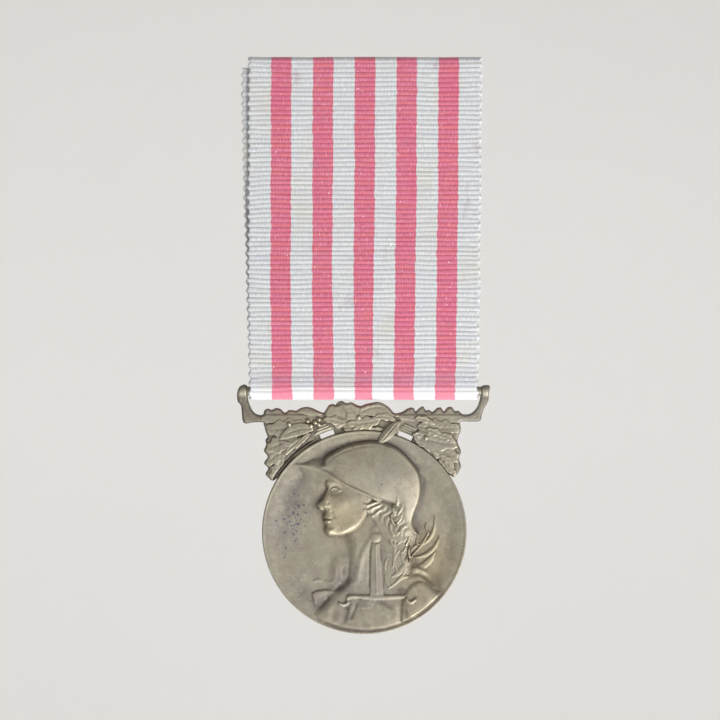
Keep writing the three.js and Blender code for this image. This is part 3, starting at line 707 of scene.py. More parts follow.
def carve_dress(r):
    """Scarf, lapel, cloak and shoulder, in soft folds."""
    chest = spline([
        (-2.1, -7.0), (-3.6, -8.3), (-5.0, -9.6), (-6.3, -10.9), (-7.6, -12.3), (-9.0, -14.2),
        (-5.0, -17.0), (2.0, -18.0), (9.0, -16.0), (13.6, -11.0), (12.4, -9.4), (11.2, -7.8), (10.1, -6.4),
        (9.1, -5.7), (8.0, -5.5), (6.8, -6.4), (3.0, -6.0),
    ])
    r.pad(chest, 0.44, 1.9, crown=0.12, crown_width=4.0, soft=True)
    scarf = spline([
        (-5.2, -4.8), (-4.1, -3.8), (-2.6, -4.0), (-1.8, -6.2), (-1.7, -8.0), (-3.6, -9.5), (-5.2, -9.7),
        (-5.5, -7.4),
    ])
    r.pad(scarf, 0.11, 1.3, crown=0.05, crown_width=2.4, soft=True)
    lapel = np.array([
        (-8.5, -9.9), (-7.6, -9.45), (-6.3, -9.3), (-5.2, -9.35), (-4.4, -10.1), (-6.1, -12.4),
        (-8.2, -13.8), (-8.1, -11.8),
    ])
    r.pad(lapel, 0.22, 0.3)
    r.stroke(spline([(-5.2, -10.3), (-6.5, -11.2), (-7.8, -12.6)], False), -0.18, 0.8, 0.3, 0.3)
    shoulder = spline([
        (6.3, -9.3), (7.2, -8.2), (8.5, -7.4), (9.7, -7.6), (11.0, -8.7), (13.2, -10.8), (10.5, -14.5),
        (6.0, -15.8), (5.5, -12.0),
    ])
    r.pad(shoulder, 0.64, 1.4, crown=0.24, crown_width=3.6, soft=True)
    clasp = spline([(-0.8, -10.9), (1.5, -10.9), (1.55, -12.0), (1.0, -12.5), (-0.4, -12.5), (-0.8, -12.0)])
    r.pad(clasp, 0.1, 0.5, floor=0.5)
    # Ridges, and after them grooves: points along each, its height and its width.
    folds = [
        ([(-8.4, -8.1), (-7.5, -7.75), (-6.7, -8.05)], 0.08, 0.2),
        ([(-6.5, -7.8), (-5.7, -8.15), (-4.8, -7.9)], 0.08, 0.2),
        ([(-2.5, -11.3), (-2.4, -12.8), (-3.4, -15.4)], 0.06, 0.5),
        ([(2.6, -12.0), (3.6, -13.4), (4.0, -15.4)], 0.08, 0.85),
        ([(-1.0, -12.6), (0.5, -14.0), (1.6, -16.0)], 0.06, 0.5),
        ([(-4.6, -10.6), (-3.9, -12.6), (-4.3, -15.0)], 0.07, 0.6),
        ([(4.6, -11.2), (5.2, -12.8), (4.9, -14.8)], 0.08, 0.55),
        ([(6.9, -6.35), (8.0, -5.75), (9.1, -6.0), (10.2, -7.0)], 0.13, 0.42),
        ([(-5.4, -11.6), (-5.8, -12.8), (-6.0, -14.6)], 0.06, 0.5),
        ([(9.4, -9.0), (10.2, -10.6), (10.0, -12.4)], 0.06, 0.5),
        ([(-4.9, -5.2), (-4.6, -6.6), (-4.9, -8.4)], 0.04, 0.3),
        ([(-2.1, -7.1), (-3.5, -8.4), (-4.9, -9.6)], -0.2, 0.5),
        ([(-1.2, -11.0), (-1.6, -12.5), (-2.4, -14.4)], -0.1, 0.3),
        ([(1.6, -11.0), (3.2, -11.4), (4.8, -12.6)], -0.12, 0.4),
        ([(6.2, -11.6), (6.6, -13.0), (6.9, -14.6)], -0.12, 0.4),
        ([(7.3, -7.0), (8.8, -6.7), (10.2, -7.5), (11.4, -8.9)], -0.22, 0.36),
        ([(-3.6, -5.2), (-3.4, -6.8), (-3.9, -8.6)], -0.08, 0.3),
        ([(-3.1, -11.5), (-2.9, -13.0), (-3.3, -15.2)], -0.07, 0.3),
    ]
    for points, height, width in folds:
        r.stroke(spline(points, False), height, width, 0.3, 0.3)


GUARD_Z = -10.4


def carve_sword(r):
    """A hilt, point down, in front of the neck: pommel, tapered grip, and a guard with curled ends."""
    grip = np.array([
        (1.15, -1.5), (2.45, -1.5), (2.75, -4.5), (3.15, GUARD_Z), (0.85, GUARD_Z), (0.95, -4.5),
    ])
    r.pad(grip, 0.1, 0.2, floor=0.58, crown=0.07, crown_width=1.1, undercut=0.02)
    r.stroke(np.array([(1.8, -1.9), (2.0, GUARD_Z + 0.4)]), 0.05, 0.16, 0.04, 0.04)
    r.stroke(np.array([(0.8, -2.2), (0.72, -8.9)]), -0.06, 0.15, 0.1, 0.05)
    r.bead((1.8, -0.75), 0.9, 0.16, floor=0.6)
    r.stroke(spline([(1.05, -1.5), (1.8, -1.66), (2.55, -1.5)], False), -0.07, 0.12)
    guard = spline([
        (-2.7, -10.2), (-2.2, -10.08), (0.0, -10.1), (2.0, -10.14), (4.4, -10.1), (6.3, -10.06),
        (6.8, -10.25), (6.5, -10.62), (4.7, -10.8), (2.2, -11.0), (0.4, -10.86), (-1.4, -10.72),
        (-2.3, -10.8), (-2.75, -11.1), (-3.0, -10.7),
    ])
    r.pad(guard, 0.17, 0.26, floor=0.6, undercut=0.0)
    curls = [
        [(-2.55, -11.25), (-2.9, -11.6), (-3.5, -11.72), (-4.05, -11.45)],
        [(6.8, -10.75), (7.0, -11.15), (7.6, -11.3), (8.25, -10.8)],
    ]
    for points in curls:
        line = spline(points, False)
        index = r.near(line, 1.0)
        away, share, _ = r.along(line, index)
        radius = 0.34 - 0.2 * np.abs(share - 0.5)
        r.h[index] += 0.26 * half_round(away, radius)


# Laurel leaves: stalk, tip, width, bend. The branch rises from behind the guard and leans out over the
# field; a second, finer spray lies along the back of the helmet.
BRANCH = [
    ((4.3, -8.9), (3.3, -6.7), 0.8, 0.1), ((5.1, -8.3), (7.3, -7.2), 0.95, 0.2),
    ((4.2, -7.2), (6.95, -3.7), 1.3, -0.16), ((6.3, -7.0), (8.1, -5.0), 0.7, -0.1),
    ((6.8, -6.3), (11.65, -2.6), 1.35, -0.16), ((5.6, -6.6), (4.9, -4.2), 0.7, 0.12),
    ((7.9, -4.1), (12.1, -0.4), 0.95, -0.2), ((6.9, -5.4), (6.1, -2.6), 0.75, 0.14),
    ((7.2, -3.6), (9.3, -1.8), 0.6, 0.14), ((9.2, -2.2), (11.3, 2.7), 0.75, -0.16),
    ((8.7, -2.6), (8.9, 0.3), 0.6, 0.1), ((3.4, -6.2), (3.8, -3.9), 0.65, 0.1),
    ((4.9, -4.6), (5.9, -2.6), 0.55, 0.12), ((4.4, -3.8), (3.3, -2.0), 0.6, 0.1),
    ((10.3, -0.2), (10.0, 1.6), 0.5, 0.1), ((7.6, -4.6), (7.3, -2.2), 0.6, 0.1),
    ((6.0, -3.4), (7.0, -1.2), 0.6, -0.1),
]
SPRAY = [
    ((5.0, -2.4), (4.1, -0.2), 0.6, 0.14), ((5.2, -2.0), (6.0, 0.0), 0.6, -0.14),
    ((4.9, -0.6), (4.2, 1.7), 0.6, 0.14), ((5.1, -0.4), (6.0, 1.8), 0.55, -0.14),
    ((4.9, 1.2), (4.4, 3.2), 0.55, 0.12), ((5.1, 1.4), (6.0, 3.4), 0.55, -0.12),
    ((5.0, 2.7), (4.7, 4.6), 0.5, 0.1), ((5.2, 2.8), (6.1, 5.0), 0.5, -0.1),
    ((5.2, 4.3), (5.4, 6.3), 0.5, 0.0), ((6.6, -2.2), (7.2, 0.8), 0.6, -0.12),
    ((7.2, -0.6), (7.0, 1.8), 0.55, 0.1),
]
STEMS = [
    [(3.9, -9.0), (5.0, -8.2), (6.2, -6.8), (7.2, -5.0), (8.0, -3.5), (9.2, -2.1), (10.4, 0.0)],
    [(4.6, -5.6), (4.9, -2.6), (4.9, 0.4), (5.2, 4.4)],
]


def carve_laurel(r):
    """Two stems and their leaves, which stand higher where they lie over the bust."""
    stem_r = 0.15
    for stem in STEMS:
        line = spline(stem, False)
        index = r.near(line, 0.5)
        away = r.along(line, index)[0]
        free = smooth_step(r.x[index], 6.5, 8.5)
        r.lay(index, stem_r - away, (0.56 - 0.44 * free) + 0.1 * half_round(away, stem_r))
    for start, end, width, bend in BRANCH:
        floor = 0.06 if end[0] > 8 else 0.5
        r.blade(start, end, 0.75 * width, 0.14, floor=floor, bend=bend)
    for start, end, width, bend in SPRAY:
        floor = 0.58 + 0.36 * float(smooth_step(end[1], 0.0, 4.0))
        r.blade(start, end, 0.8 * width, 0.12, floor=floor, bend=bend)


def obverse(x, z):
    """Heights of the bust, sword and laurel over the field."""
    r = Relief(x, z)
    carve_dress(r)
    carve_head(r)
    carve_hair(r)
    carve_helmet(r)
    carve_laurel(r)
    carve_sword(r)
    return r.h


def reverse(x, z):
    """A generic reverse: a laurel and oak wreath round a star and a blank tablet. x is seen from behind."""
    r = Relief(x, z)
    tablet = spline(
        [
            (-6.2, 2.6), (0.0, 2.9), (6.2, 2.6), (6.5, 0.0), (6.2, -2.6), (0.0, -2.9), (-6.2, -2.6),
            (-6.5, 0.0),
        ], steps=5
    )
    index, d = r.pad(tablet, 0.24, 0.4, undercut=0.04)
    r.h[index] -= 0.1 * smooth_step(d, 0.55, 0.8)
    wreath_r = 11.2
    # Laurel on one side and oak on the other: side, lobes, leaf's width, reach from the stem, turn to tip.
    for side, lobes, width, reach, turn in ((-1, 0, 1.25, 2.0, 16), (1, 3, 2.0, 2.3, 15)):
        angles = np.radians(np.linspace(-84, 66, 15))
        stem = np.column_stack([side * wreath_r * np.cos(angles), wreath_r * np.sin(angles)])
        r.stroke(stem, 0.2, 0.22, 0.02, 0.02)
        for angle in angles[:-1] + np.radians(4):
            for out in (-1, 1):
                near, far = angle + np.radians(1 if out > 0 else 4), angle + np.radians(turn)
                start = (side * wreath_r * math.cos(near), wreath_r * math.sin(near))
                tip_r = wreath_r + out * reach
                tip = (side * tip_r * math.cos(far), tip_r * math.sin(far))
                r.leaf(start, tip, width, 0.3, floor=0.1, bend=-0.12 * side * out, lobes=lobes)
    star_z = 6.2

    def from_star(length, degrees):
        turn = math.radians(degrees)
        return length * math.cos(turn), star_z + length * math.sin(turn)

    for up in range(90, 450, 72):
        ray = np.array([(0, star_z), from_star(1.0, up + 36), from_star(2.4, up), from_star(1.0, up - 36)])
        r.pad(ray, 0.2, 0.4, floor=0.04, undercut=0.03)
        r.stroke(np.array([(0, star_z), from_star(2.3, up)]), 0.14, 0.22, 0.01, 0.3)
    knot = spline([(-1.3, -10.6), (0, -10.1), (1.3, -10.6), (1.3, -11.8), (0, -12.2), (-1.3, -11.8)])
    r.pad(knot, 0.34, 0.5, floor=0.12, undercut=0.1)
    for side in (-1, 1):
        bow = spline([
            (side * 0.8, -11.0), (side * 2.6, -9.6), (side * 4.0, -9.9), (side * 3.6, -11.4),
            (side * 1.6, -11.9),
        ])
        r.pad(bow, 0.26, 0.35, floor=0.1, undercut=0.1)
        tail = spline([(side * 0.5, -11.8), (side * 1.5, -11.9), (side * 3.2, -14.2), (side * 2.1, -14.6)])
        r.pad(tail, 0.22, 0.3, floor=0.06, undercut=0.08)
    return r.h


# --- The disc as one closed mesh ---


def disc_grid(cells, radius):
    """Points that fill a disc evenly, on a square grid bent round it, and the ring of points at its edge.

    The ring's points come back with their angles, from the lowest angle up.
    """
    side = np.linspace(-1, 1, cells + 1)
    a, b = np.meshgrid(side, side, indexing="ij")
    wide = np.abs(a) > np.abs(b)
    with np.errstate(divide="ignore", invalid="ignore"):
        r = np.where(wide, a, b)
        angle = np.where(wide, np.pi / 4 * b / a, np.pi / 2 - np.pi / 4 * a / b)
    angle = np.where((a == 0) & (b == 0), 0, angle)
    x, z = radius * r * np.cos(angle), radius * r * np.sin(angle)
    n = cells + 1
    ids = np.arange(n * n).reshape(n, n)
    ring = np.concatenate([ids[:-1, 0], ids[-1, :-1], ids[:0:-1, -1], ids[0, :0:-1]])
    quads = grid_quads(ids)
    x, z = x.ravel(), z.ravel()
    angles = np.arctan2(z[ring], x[ring])
    shift = int(np.argmin(angles))
    return x, z, np.roll(ring, -shift), np.roll(angles, -shift), quads


def rim_step(x, z, dish, height, inner, dish_start):
    """The field's rise towards the edge, and the rim on it."""
    r = np.hypot(x, z)
    rise = dish * smooth_step(r, dish_start, inner)
    return rise + (height - dish) * smooth_step(r, inner, inner + 0.1)


def spots_at(x, z):
    """Blue-grey corrosion spots: a loose cluster in the field before the bust, and a few strays."""
    rng = np.random.default_rng(14)
    spots = np.zeros(x.shape)
    cluster = rng.normal((-12.3, 1.2), (1.5, 2.6), (70, 2))
    strays = rng.uniform((-9, -14), (12, 14), (26, 2))
    dense = rng.normal((-11.0, 2.3), (0.95, 1.7), (26, 2))
    fine, coarse = rng.uniform(0.06, 0.18, len(cluster) + len(strays)), rng.uniform(0.12, 0.28, len(dense))
    sizes = np.concatenate([fine, coarse])
    for (cx, cz), size in zip(np.vstack([cluster, strays, dense]), sizes):
        near = np.nonzero((np.abs(x - cx) < 0.8) & (np.abs(z - cz) < 0.8))[0]
        stretch = rng.uniform(0.7, 1.5)
        away = np.hypot((x[near] - cx) * stretch, z[near] - cz)
        spots[near] = np.maximum(spots[near], bell(away, size))
    return spots


# Where dark patina has settled on the obverse, or shade is painted on it: centre, half-width, half-height,
# and strength, which is below nought where the metal is rubbed bright or a highlight is painted on the
# relief.
PATINA_AND_PAINTED_LIGHT = [
    ((-4.6, 10.2), 2.6, 1.4, 0.24), ((-3.4, -8.4), 1.4, 1.6, 0.42), ((-7.0, -11.3), 1.1, 1.1, 0.3),
    ((-2.6, -12.6), 0.7, 2.0, 0.26), ((6.5, -12.8), 0.6, 1.8, 0.26), ((10.4, -8.0), 1.2, 0.7, 0.3),
    ((5.9, -9.4), 0.6, 0.5, 0.3), ((-5.6, 12.9), 1.6, 1.3, 0.2), ((8.6, -0.6), 0.6, 1.6, 0.26),
    ((-4.4, -13.6), 2.4, 1.2, 0.14), ((9.8, -11.6), 2.6, 2.4, 0.14), ((0.0, -15.6), 7.0, 1.5, 0.14),
    ((-10.8, 5.5), 2.8, 3.6, 0.12), ((6.0, 5.8), 2.8, 3.2, -0.6), ((-0.6, -4.5), 1.4, 2.6, -0.24),
    ((-14.0, -1.0), 3.0, 6.0, 0.03), ((-3.6, 2.0), 2.2, 2.6, -0.3), ((0.6, 5.4), 1.8, 1.8, -0.25),
    ((0.0, -11.8), 1.8, 0.9, 0.2), ((-5.2, -10.4), 1.4, 1.2, 0.14), ((-10.4, -9.8), 2.2, 2.0, 0.1),
]


def patina_and_painted_light_at(x, z):
    """How much darker than its relief alone would make it each point of the obverse is: settled patina and
    painted shade, and below nought, rubbed metal and painted highlights.
    """
    return sum(s * np.exp(-(((x - c[0]) / w) ** 2) - ((z - c[1]) / h) ** 2) for c, w, h, s in PATINA_AND_PAINTED_LIGHT)


def build_disc():
    """The obverse's grid, the edge's rings and the reverse's grid, sewn together."""
    front_cells, back_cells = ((240, 160))
    edge_r = DISC_R - 0.1
    fx, fz, ring, angle, front_quads = disc_grid(front_cells, edge_r)
    bx, bz, back_ring, back_angle, back_quads = disc_grid(back_cells, edge_r)
    front_rim = rim_step(fx, fz, DISH, RIM_HEIGHT, RIM_R, DISC_R - 3.4)
    back_rim = rim_step(bx, bz, 0.06, REVERSE_Y - FIELD_Y, DISC_R - 0.95, DISC_R - 2.4)
    front_fade = smooth_step(-np.hypot(fx, fz), -RIM_R, -RIM_R + 0.5)
    back_fade = smooth_step(-np.hypot(bx, bz), -DISC_R + 0.9, -DISC_R + 1.3)
    front = np.maximum(obverse(fx, fz) * front_fade, front_rim)
    back = np.maximum(reverse(-bx, bz) * back_fade, back_rim)
    points = [np.column_stack([fx, -FIELD_Y - front, fz])]
    faces = front_quads.tolist()
    count = len(fx)
    front_y, back_y = -FIELD_Y - RIM_HEIGHT, REVERSE_Y
    # The edge's rings: radius and Y.
    steps = [
        (DISC_R - 0.03, front_y + 0.04), (DISC_R, front_y + 0.12), (DISC_R, back_y - 0.12),
        (DISC_R - 0.03, back_y - 0.04),
    ]
    previous = ring
    for radius, y in steps:
        loop = np.arange(count, count + len(ring))
        level = np.full(len(ring), y)
        points.append(np.column_stack([radius * np.cos(angle), level, radius * np.sin(angle)]))
        faces += [q[::-1] for q in strip_between(previous, loop)]
        previous, count = loop, count + len(ring)
    points.append(np.column_stack([bx, FIELD_Y + back, bz]))
    faces += (back_quads + count)[:, [0, 3, 2, 1]].tolist()
    faces += [f[::-1] for f in zip_rings(previous, angle, back_ring + count, back_angle)]
    disc = make_mesh("medal_relief", np.vstack(points) + DISC_CENTRE, faces, bronze, 50)

    def on_grid(h, cells):
        return wear_of(h.reshape(cells + 1, cells + 1), 2 * DISC_R / cells).ravel()

    edge = np.full(len(steps) * len(ring), 0.62)  # how worn the edge is
    # The obverse's wear, with settled patina and painted shade taken off it and painted highlights added.
    front_wear_and_painted_light = on_grid(front, front_cells) - patina_and_painted_light_at(fx, fz)
    store(disc, "wear_and_painted_light", np.concatenate([front_wear_and_painted_light, edge, on_grid(back, back_cells)]))
    store(disc, "spots", np.concatenate([spots_at(fx, fz), edge * 0, spots_at(bx - 3, bz)]))
    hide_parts("medal_disc")
    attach(disc, "medal")


build_disc()

# --- Suspender: both faces in relief over one outline ---

# The outline of foliage and arms, clockwise from the left arm's foot, from the disc's centre.
SUSPENDER = [
    (-19.5, 17.7), (-19.85, 20.3), (-20.4, 21.1), (-20.5, 22.5), (-20.1, 23.5), (-19.3, 23.85),
    (-18.8, 23.4), (-18.75, 21.7), (-18.45, 20.6), (-18.05, 19.7), (-17.4, 19.1), (-16.4, 18.95),
    (-16.05, 19.75), (-15.4, 19.95), (-14.95, 19.75), (-14.3, 20.05), (-13.5, 19.9), (-12.8, 19.3),
    (-12.1, 19.75), (-10.95, 19.65), (-10.4, 20.0), (-9.4, 20.25), (-8.5, 20.1), (-7.5, 19.65),
    (-6.6, 19.3), (-6.1, 19.95), (-5.7, 20.55), (-4.95, 20.7), (-4.65, 20.55), (-4.3, 21.0), (-3.6, 21.2),
    (-2.9, 20.85), (-2.1, 21.0), (-1.4, 20.65), (-0.6, 20.4), (0.2, 20.7), (1.2, 20.9), (2.1, 21.05),
    (3.0, 20.8), (4.0, 20.15), (4.75, 19.3), (5.4, 19.25), (6.2, 19.5), (6.8, 19.9), (7.5, 20.15),
    (8.05, 19.95), (8.25, 19.5), (8.9, 20.1), (9.5, 20.3), (9.85, 19.7), (10.4, 19.75), (11.0, 19.45),
    (11.6, 20.0), (12.3, 20.15), (12.8, 19.5), (13.35, 20.15), (14.1, 20.2), (14.55, 19.6), (15.2, 19.6),
    (15.75, 19.1), (16.7, 19.05), (17.4, 19.35), (18.05, 20.05), (18.4, 20.8), (18.7, 22.0), (18.75, 23.4),
    (19.4, 23.75), (20.2, 23.6), (20.15, 22.4), (19.95, 21.1), (19.3, 19.9), (18.95, 18.9), (18.65, 17.95),
    (17.0, 17.85), (15.5, 17.8), (15.6, 16.5), (15.2, 15.4), (15.05, 14.5), (15.6, 13.0), (15.3, 11.9),
    (15.6, 10.6), (15.3, 9.8), (14.6, 8.95), (13.4, 9.4), (6.0, 14.0), (0.0, 15.4), (-6.0, 14.0),
    (-13.6, 9.0), (-14.8, 8.3), (-15.5, 8.8), (-15.95, 9.4), (-15.5, 10.3), (-16.2, 11.1), (-15.6, 12.2),
    (-16.2, 13.1), (-15.85, 14.1), (-15.95, 14.9), (-15.6, 15.4), (-15.9, 16.2), (-16.2, 17.3),
    (-16.4, 17.75), (-18.0, 17.7),
]
SEAT = DISC_R + 0.02
SLOT_ANGLES = (-20.8, 23.0)  # the slots' middles, in degrees from the top
PLATE_HALF = 0.56  # half the foliage's thickness before its relief

# Leaves of the foliage: stalk, tip, width, bend, lobes, floor, lean. Negative x is the viewer's left.
FOLIAGE = [
    ((-6.6, 19.2), (-11.0, 19.5), 1.8, -0.1, 0, 0.0, 0.1),
    ((-9.2, 17.4), (-16.6, 16.7), 3.6, 0.04, 4, 0.06, -0.16),
    ((-13.2, 11.8), (-15.3, 8.3), 2.5, 0.05, 3, 0.02, -0.12),
    ((-12.0, 13.8), (-16.3, 10.6), 3.1, -0.05, 4, 0.08, -0.18),
    ((-10.8, 15.8), (-16.5, 13.4), 3.3, 0.05, 4, 0.12, -0.2),
    ((-9.4, 15.3), (-12.9, 12.3), 1.2, -0.1, 0, 0.2, -0.1),
    ((-8.1, 16.7), (-13.7, 15.0), 2.1, -0.12, 0, 0.26, -0.2),
    ((-11.6, 14.3), (-13.8, 14.9), 0.9, 0.1, 0, 0.26, -0.1),
    ((-8.6, 16.1), (-11.2, 13.3), 0.9, -0.06, 0, 0.24, -0.1),
    ((8.4, 17.2), (16.0, 17.0), 3.4, -0.04, 4, 0.06, 0.16),
    ((12.2, 12.2), (14.9, 8.8), 2.7, -0.05, 3, 0.04, 0.14),
    ((9.6, 14.2), (15.7, 11.4), 3.4, 0.05, 4, 0.1, 0.2),
    ((7.6, 15.9), (15.6, 14.1), 3.2, -0.04, 4, 0.16, 0.22),
    ((8.2, 14.6), (11.9, 12.4), 1.5, 0.1, 3, 0.2, 0.12),
    ((9.8, 16.6), (12.9, 15.2), 1.5, 0.1, 3, 0.24, 0.12),
    ((12.3, 15.8), (14.6, 14.4), 1.4, 0.12, 3, 0.26, 0.12),
    ((12.0, 12.4), (14.4, 10.4), 1.4, 0.12, 3, 0.22, 0.12),
    ((8.0, 18.4), (11.4, 17.4), 1.3, 0.1, 3, 0.22, 0.12),
    ((0.8, 17.6), (-6.6, 20.0), 4.9, 0.03, 4, 0.1, -0.2),
    ((0.2, 18.0), (-3.2, 21.5), 3.4, 0.05, 3, 0.16, -0.16),
    ((-0.8, 19.3), (5.5, 18.7), 3.1, 0.2, 0, 0.18, 0.12),
    ((2.6, 18.3), (-3.0, 17.7), 2.4, 0.06, 4, 0.28, -0.18),
    ((3.2, 16.7), (-3.6, 16.6), 1.7, 0.03, 4, 0.2, -0.16),
    ((1.6, 18.6), (5.2, 17.9), 1.5, 0.12, 3, 0.3, 0.14),
    ((-3.0, 17.5), (-6.8, 18.3), 1.7, -0.05, 3, 0.22, -0.14),
    ((-0.4, 17.4), (-2.4, 16.2), 1.1, 0.1, 0, 0.32, -0.1),
]
BERRIES = [
    (-12.1, 17.5), (-9.1, 18.0), (-8.6, 17.25), (-7.9, 17.75), (-7.3, 18.25), (-7.35, 17.45), (-0.9, 18.6),
    (9.9, 15.3),
]


def in_slot(x, z):
    """How far inside a pierced slot each point lies."""
    radius, angle = np.hypot(x, z), np.degrees(np.arctan2(x, z))
    turn = np.minimum(np.abs(angle - SLOT_ANGLES[0]), np.abs(angle - SLOT_ANGLES[1]))
    return np.minimum(radius - (DISC_R - 0.6), np.minimum(DISC_R + 0.8 - radius, (4.0 - turn) * 0.3))


def foliage_heights(x, z):
    """The foliage's depth inside its outline, its depth for rounding edges, and its height over a plate."""
    r = Relief(x, z)
    everywhere = np.arange(r.x.size)
    outline = spline(SUSPENDER, steps=4)
    inside = r.depth(outline, everywhere)
    from_seat = np.hypot(r.x, r.z) - SEAT
    slot = -in_slot(r.x, r.z)
    at_seam = (r.x < -7.6) | (r.z < 9.5)  # elsewhere the foliage meets the disc with no gap
    rounded = np.minimum(np.minimum(inside, 2 * slot), np.where(at_seam, 2 * from_seat, 1.0))
    inside = np.minimum(np.minimum(inside, slot), from_seat)
    for side, reach in ((-1, 6.9), (1, 5.5)):  # the bars that the arms grow from
        bar = np.array([
            (16.6, 17.7), (16.6, 19.0), (reach, 19.0), (reach, 18.3), (9.0, 17.9), (15.4, 17.7),
        ]) * [side, 1]
        r.pad(bar, 0.06, 0.2, floor=0.05, undercut=0.0)
    for start, end, width, bend, lobes, floor, lean in FOLIAGE:
        r.leaf(start, end, width, 0.17, 0.8 * floor, bend, lobes, undercut=0.02, lean=0.3 * lean)
    for k in range(3):  # stalks laid along the slots
        radius = DISC_R + 1.3 + 0.4 * k
        for side, low, high in ((-1, 17.0, 27.5), (1, 17.5, 31.0)):
            turn = np.radians(np.linspace(low + k, high - 2 * k, 6))
            r.stroke(np.column_stack([side * radius * np.sin(turn), radius * np.cos(turn)]), 0.2, 0.15)
    collar = np.radians(np.linspace(-60.5, -28, 12))
    seam = np.column_stack([np.sin(collar), np.cos(collar)]) * (DISC_R + 0.52)
    r.h[(from_seat < 0.5) & at_seam] = 0.08
    r.stroke(seam, -0.25, 0.12, 0.05, 0.1)
    for centre in BERRIES:
        r.bead(centre, 0.36, 0.26, floor=0.26)
    arm = (np.abs(r.x) > 16.1) & (r.z > 17)
    r.h[arm & (r.h > 0.36)] = 0.36
    at_lug = (np.abs(r.x) > 18.0) & (r.z > 20)
    lug = half_round(r.z[at_lug] - (BAR_Z - DISC_Z), 1.12)
    r.h[at_lug] = np.maximum(r.h[at_lug], 1.02 * lug - PLATE_HALF)
    return inside, rounded, r.h


def two_sided(name, x_range, z_range, step, heights, edge, material):
    """A closed relief with the same face front and back, cut out along where depth is nought."""
    xs, zs = np.arange(*x_range, step), np.arange(*z_range, step)
    x, z = np.meshgrid(xs, zs, indexing="ij")
    depth, rounded, height = (values.reshape(x.shape) for values in heights(x, z))
    depth[np.abs(depth) < 0.02 * step] = 0.02 * step
    inside = depth > 0
    rise = (PLATE_HALF + height) * swell(np.maximum(rounded, 0.02 * step), edge)
    wear_and_painted_light = 0.04 + wear_of(np.where(inside, rise, PLATE_HALF), step)
    wear_and_painted_light -= 0.14 * smooth_step(np.abs(x), 15.5, 16.8) + 0.09 * smooth_step(-x, 6.0, 9.0)
    ids = np.full(x.shape, -1)
    ids[inside] = np.arange(inside.sum())
    shared, rows, faces = {}, [], []

    def crossing(p, q):
        key = (min(p, q), max(p, q))
        if key not in shared:
            t = depth[p] / (depth[p] - depth[q])
            shared[key] = len(rows)
            rows.append((x[p] + t * (x[q] - x[p]), z[p] + t * (z[q] - z[p])))
        return ("edge", shared[key])

    low, high = slice(None, -1), slice(1, None)
    full = sum(inside[i, k].astype(int) for i, k in ((low, low), (high, low), (high, high), (low, high)))
    cells = np.argwhere(full == 4)
    i, k = cells[:, 0], cells[:, 1]
    solid = np.column_stack([ids[i, k], ids[i + 1, k], ids[i + 1, k + 1], ids[i, k + 1]])
    for i, k in np.argwhere((full > 0) & (full < 4)):
        loop = [(i, k), (i + 1, k), (i + 1, k + 1), (i, k + 1)]
        polygon = []
        for p, q in zip(loop, loop[1:] + loop[:1]):
            if inside[p]:
                polygon.append(("grid", ids[p]))
            if inside[p] != inside[q]:
                polygon.append(crossing(p, q))
        if full[i, k] == 2 and inside[loop[0]] == inside[loop[2]]:  # opposite corners: a triangle at each
            if inside[loop[0]]:
                polygon = polygon[-1:] + polygon[:-1]
            faces += [polygon[:3], polygon[3:]]
        else:
            faces.append(polygon)
    n = int(inside.sum())
    edge_points = np.array(rows)
    front = np.column_stack([x[inside], -rise[inside], z[inside]])
    back = front * [1, -1, 1]
    border = np.column_stack([edge_points[:, 0], np.zeros(len(rows)), edge_points[:, 1]])
    points = np.vstack([front, back, border]) + DISC_CENTRE

    def number(ref, layer):
        return int(ref[1]) + (2 * n if ref[0] == "edge" else layer * n)

    all_faces = solid.tolist() + [[number(v, 0) for v in f] for f in faces]
    all_faces += (solid + n)[:, ::-1].tolist() + [[number(v, 1) for v in f][::-1] for f in faces]
    piece = make_mesh(name, points, all_faces, material, 60)
    edge_wear = np.full(len(rows), 0.5)
    store(piece, "wear_and_painted_light", np.concatenate([wear_and_painted_light[inside], wear_and_painted_light[inside], edge_wear]))
    return piece


def build_suspender():
    step = 0.1
    foliage = two_sided("suspender_foliage", (-21.2, 21.2), (7.6, 24.6), step, foliage_heights, 0.42, bronze)
    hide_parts("suspender_bracket", "suspender_arm_left", "suspender_arm_right")
    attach(foliage, "medal")


build_suspender()


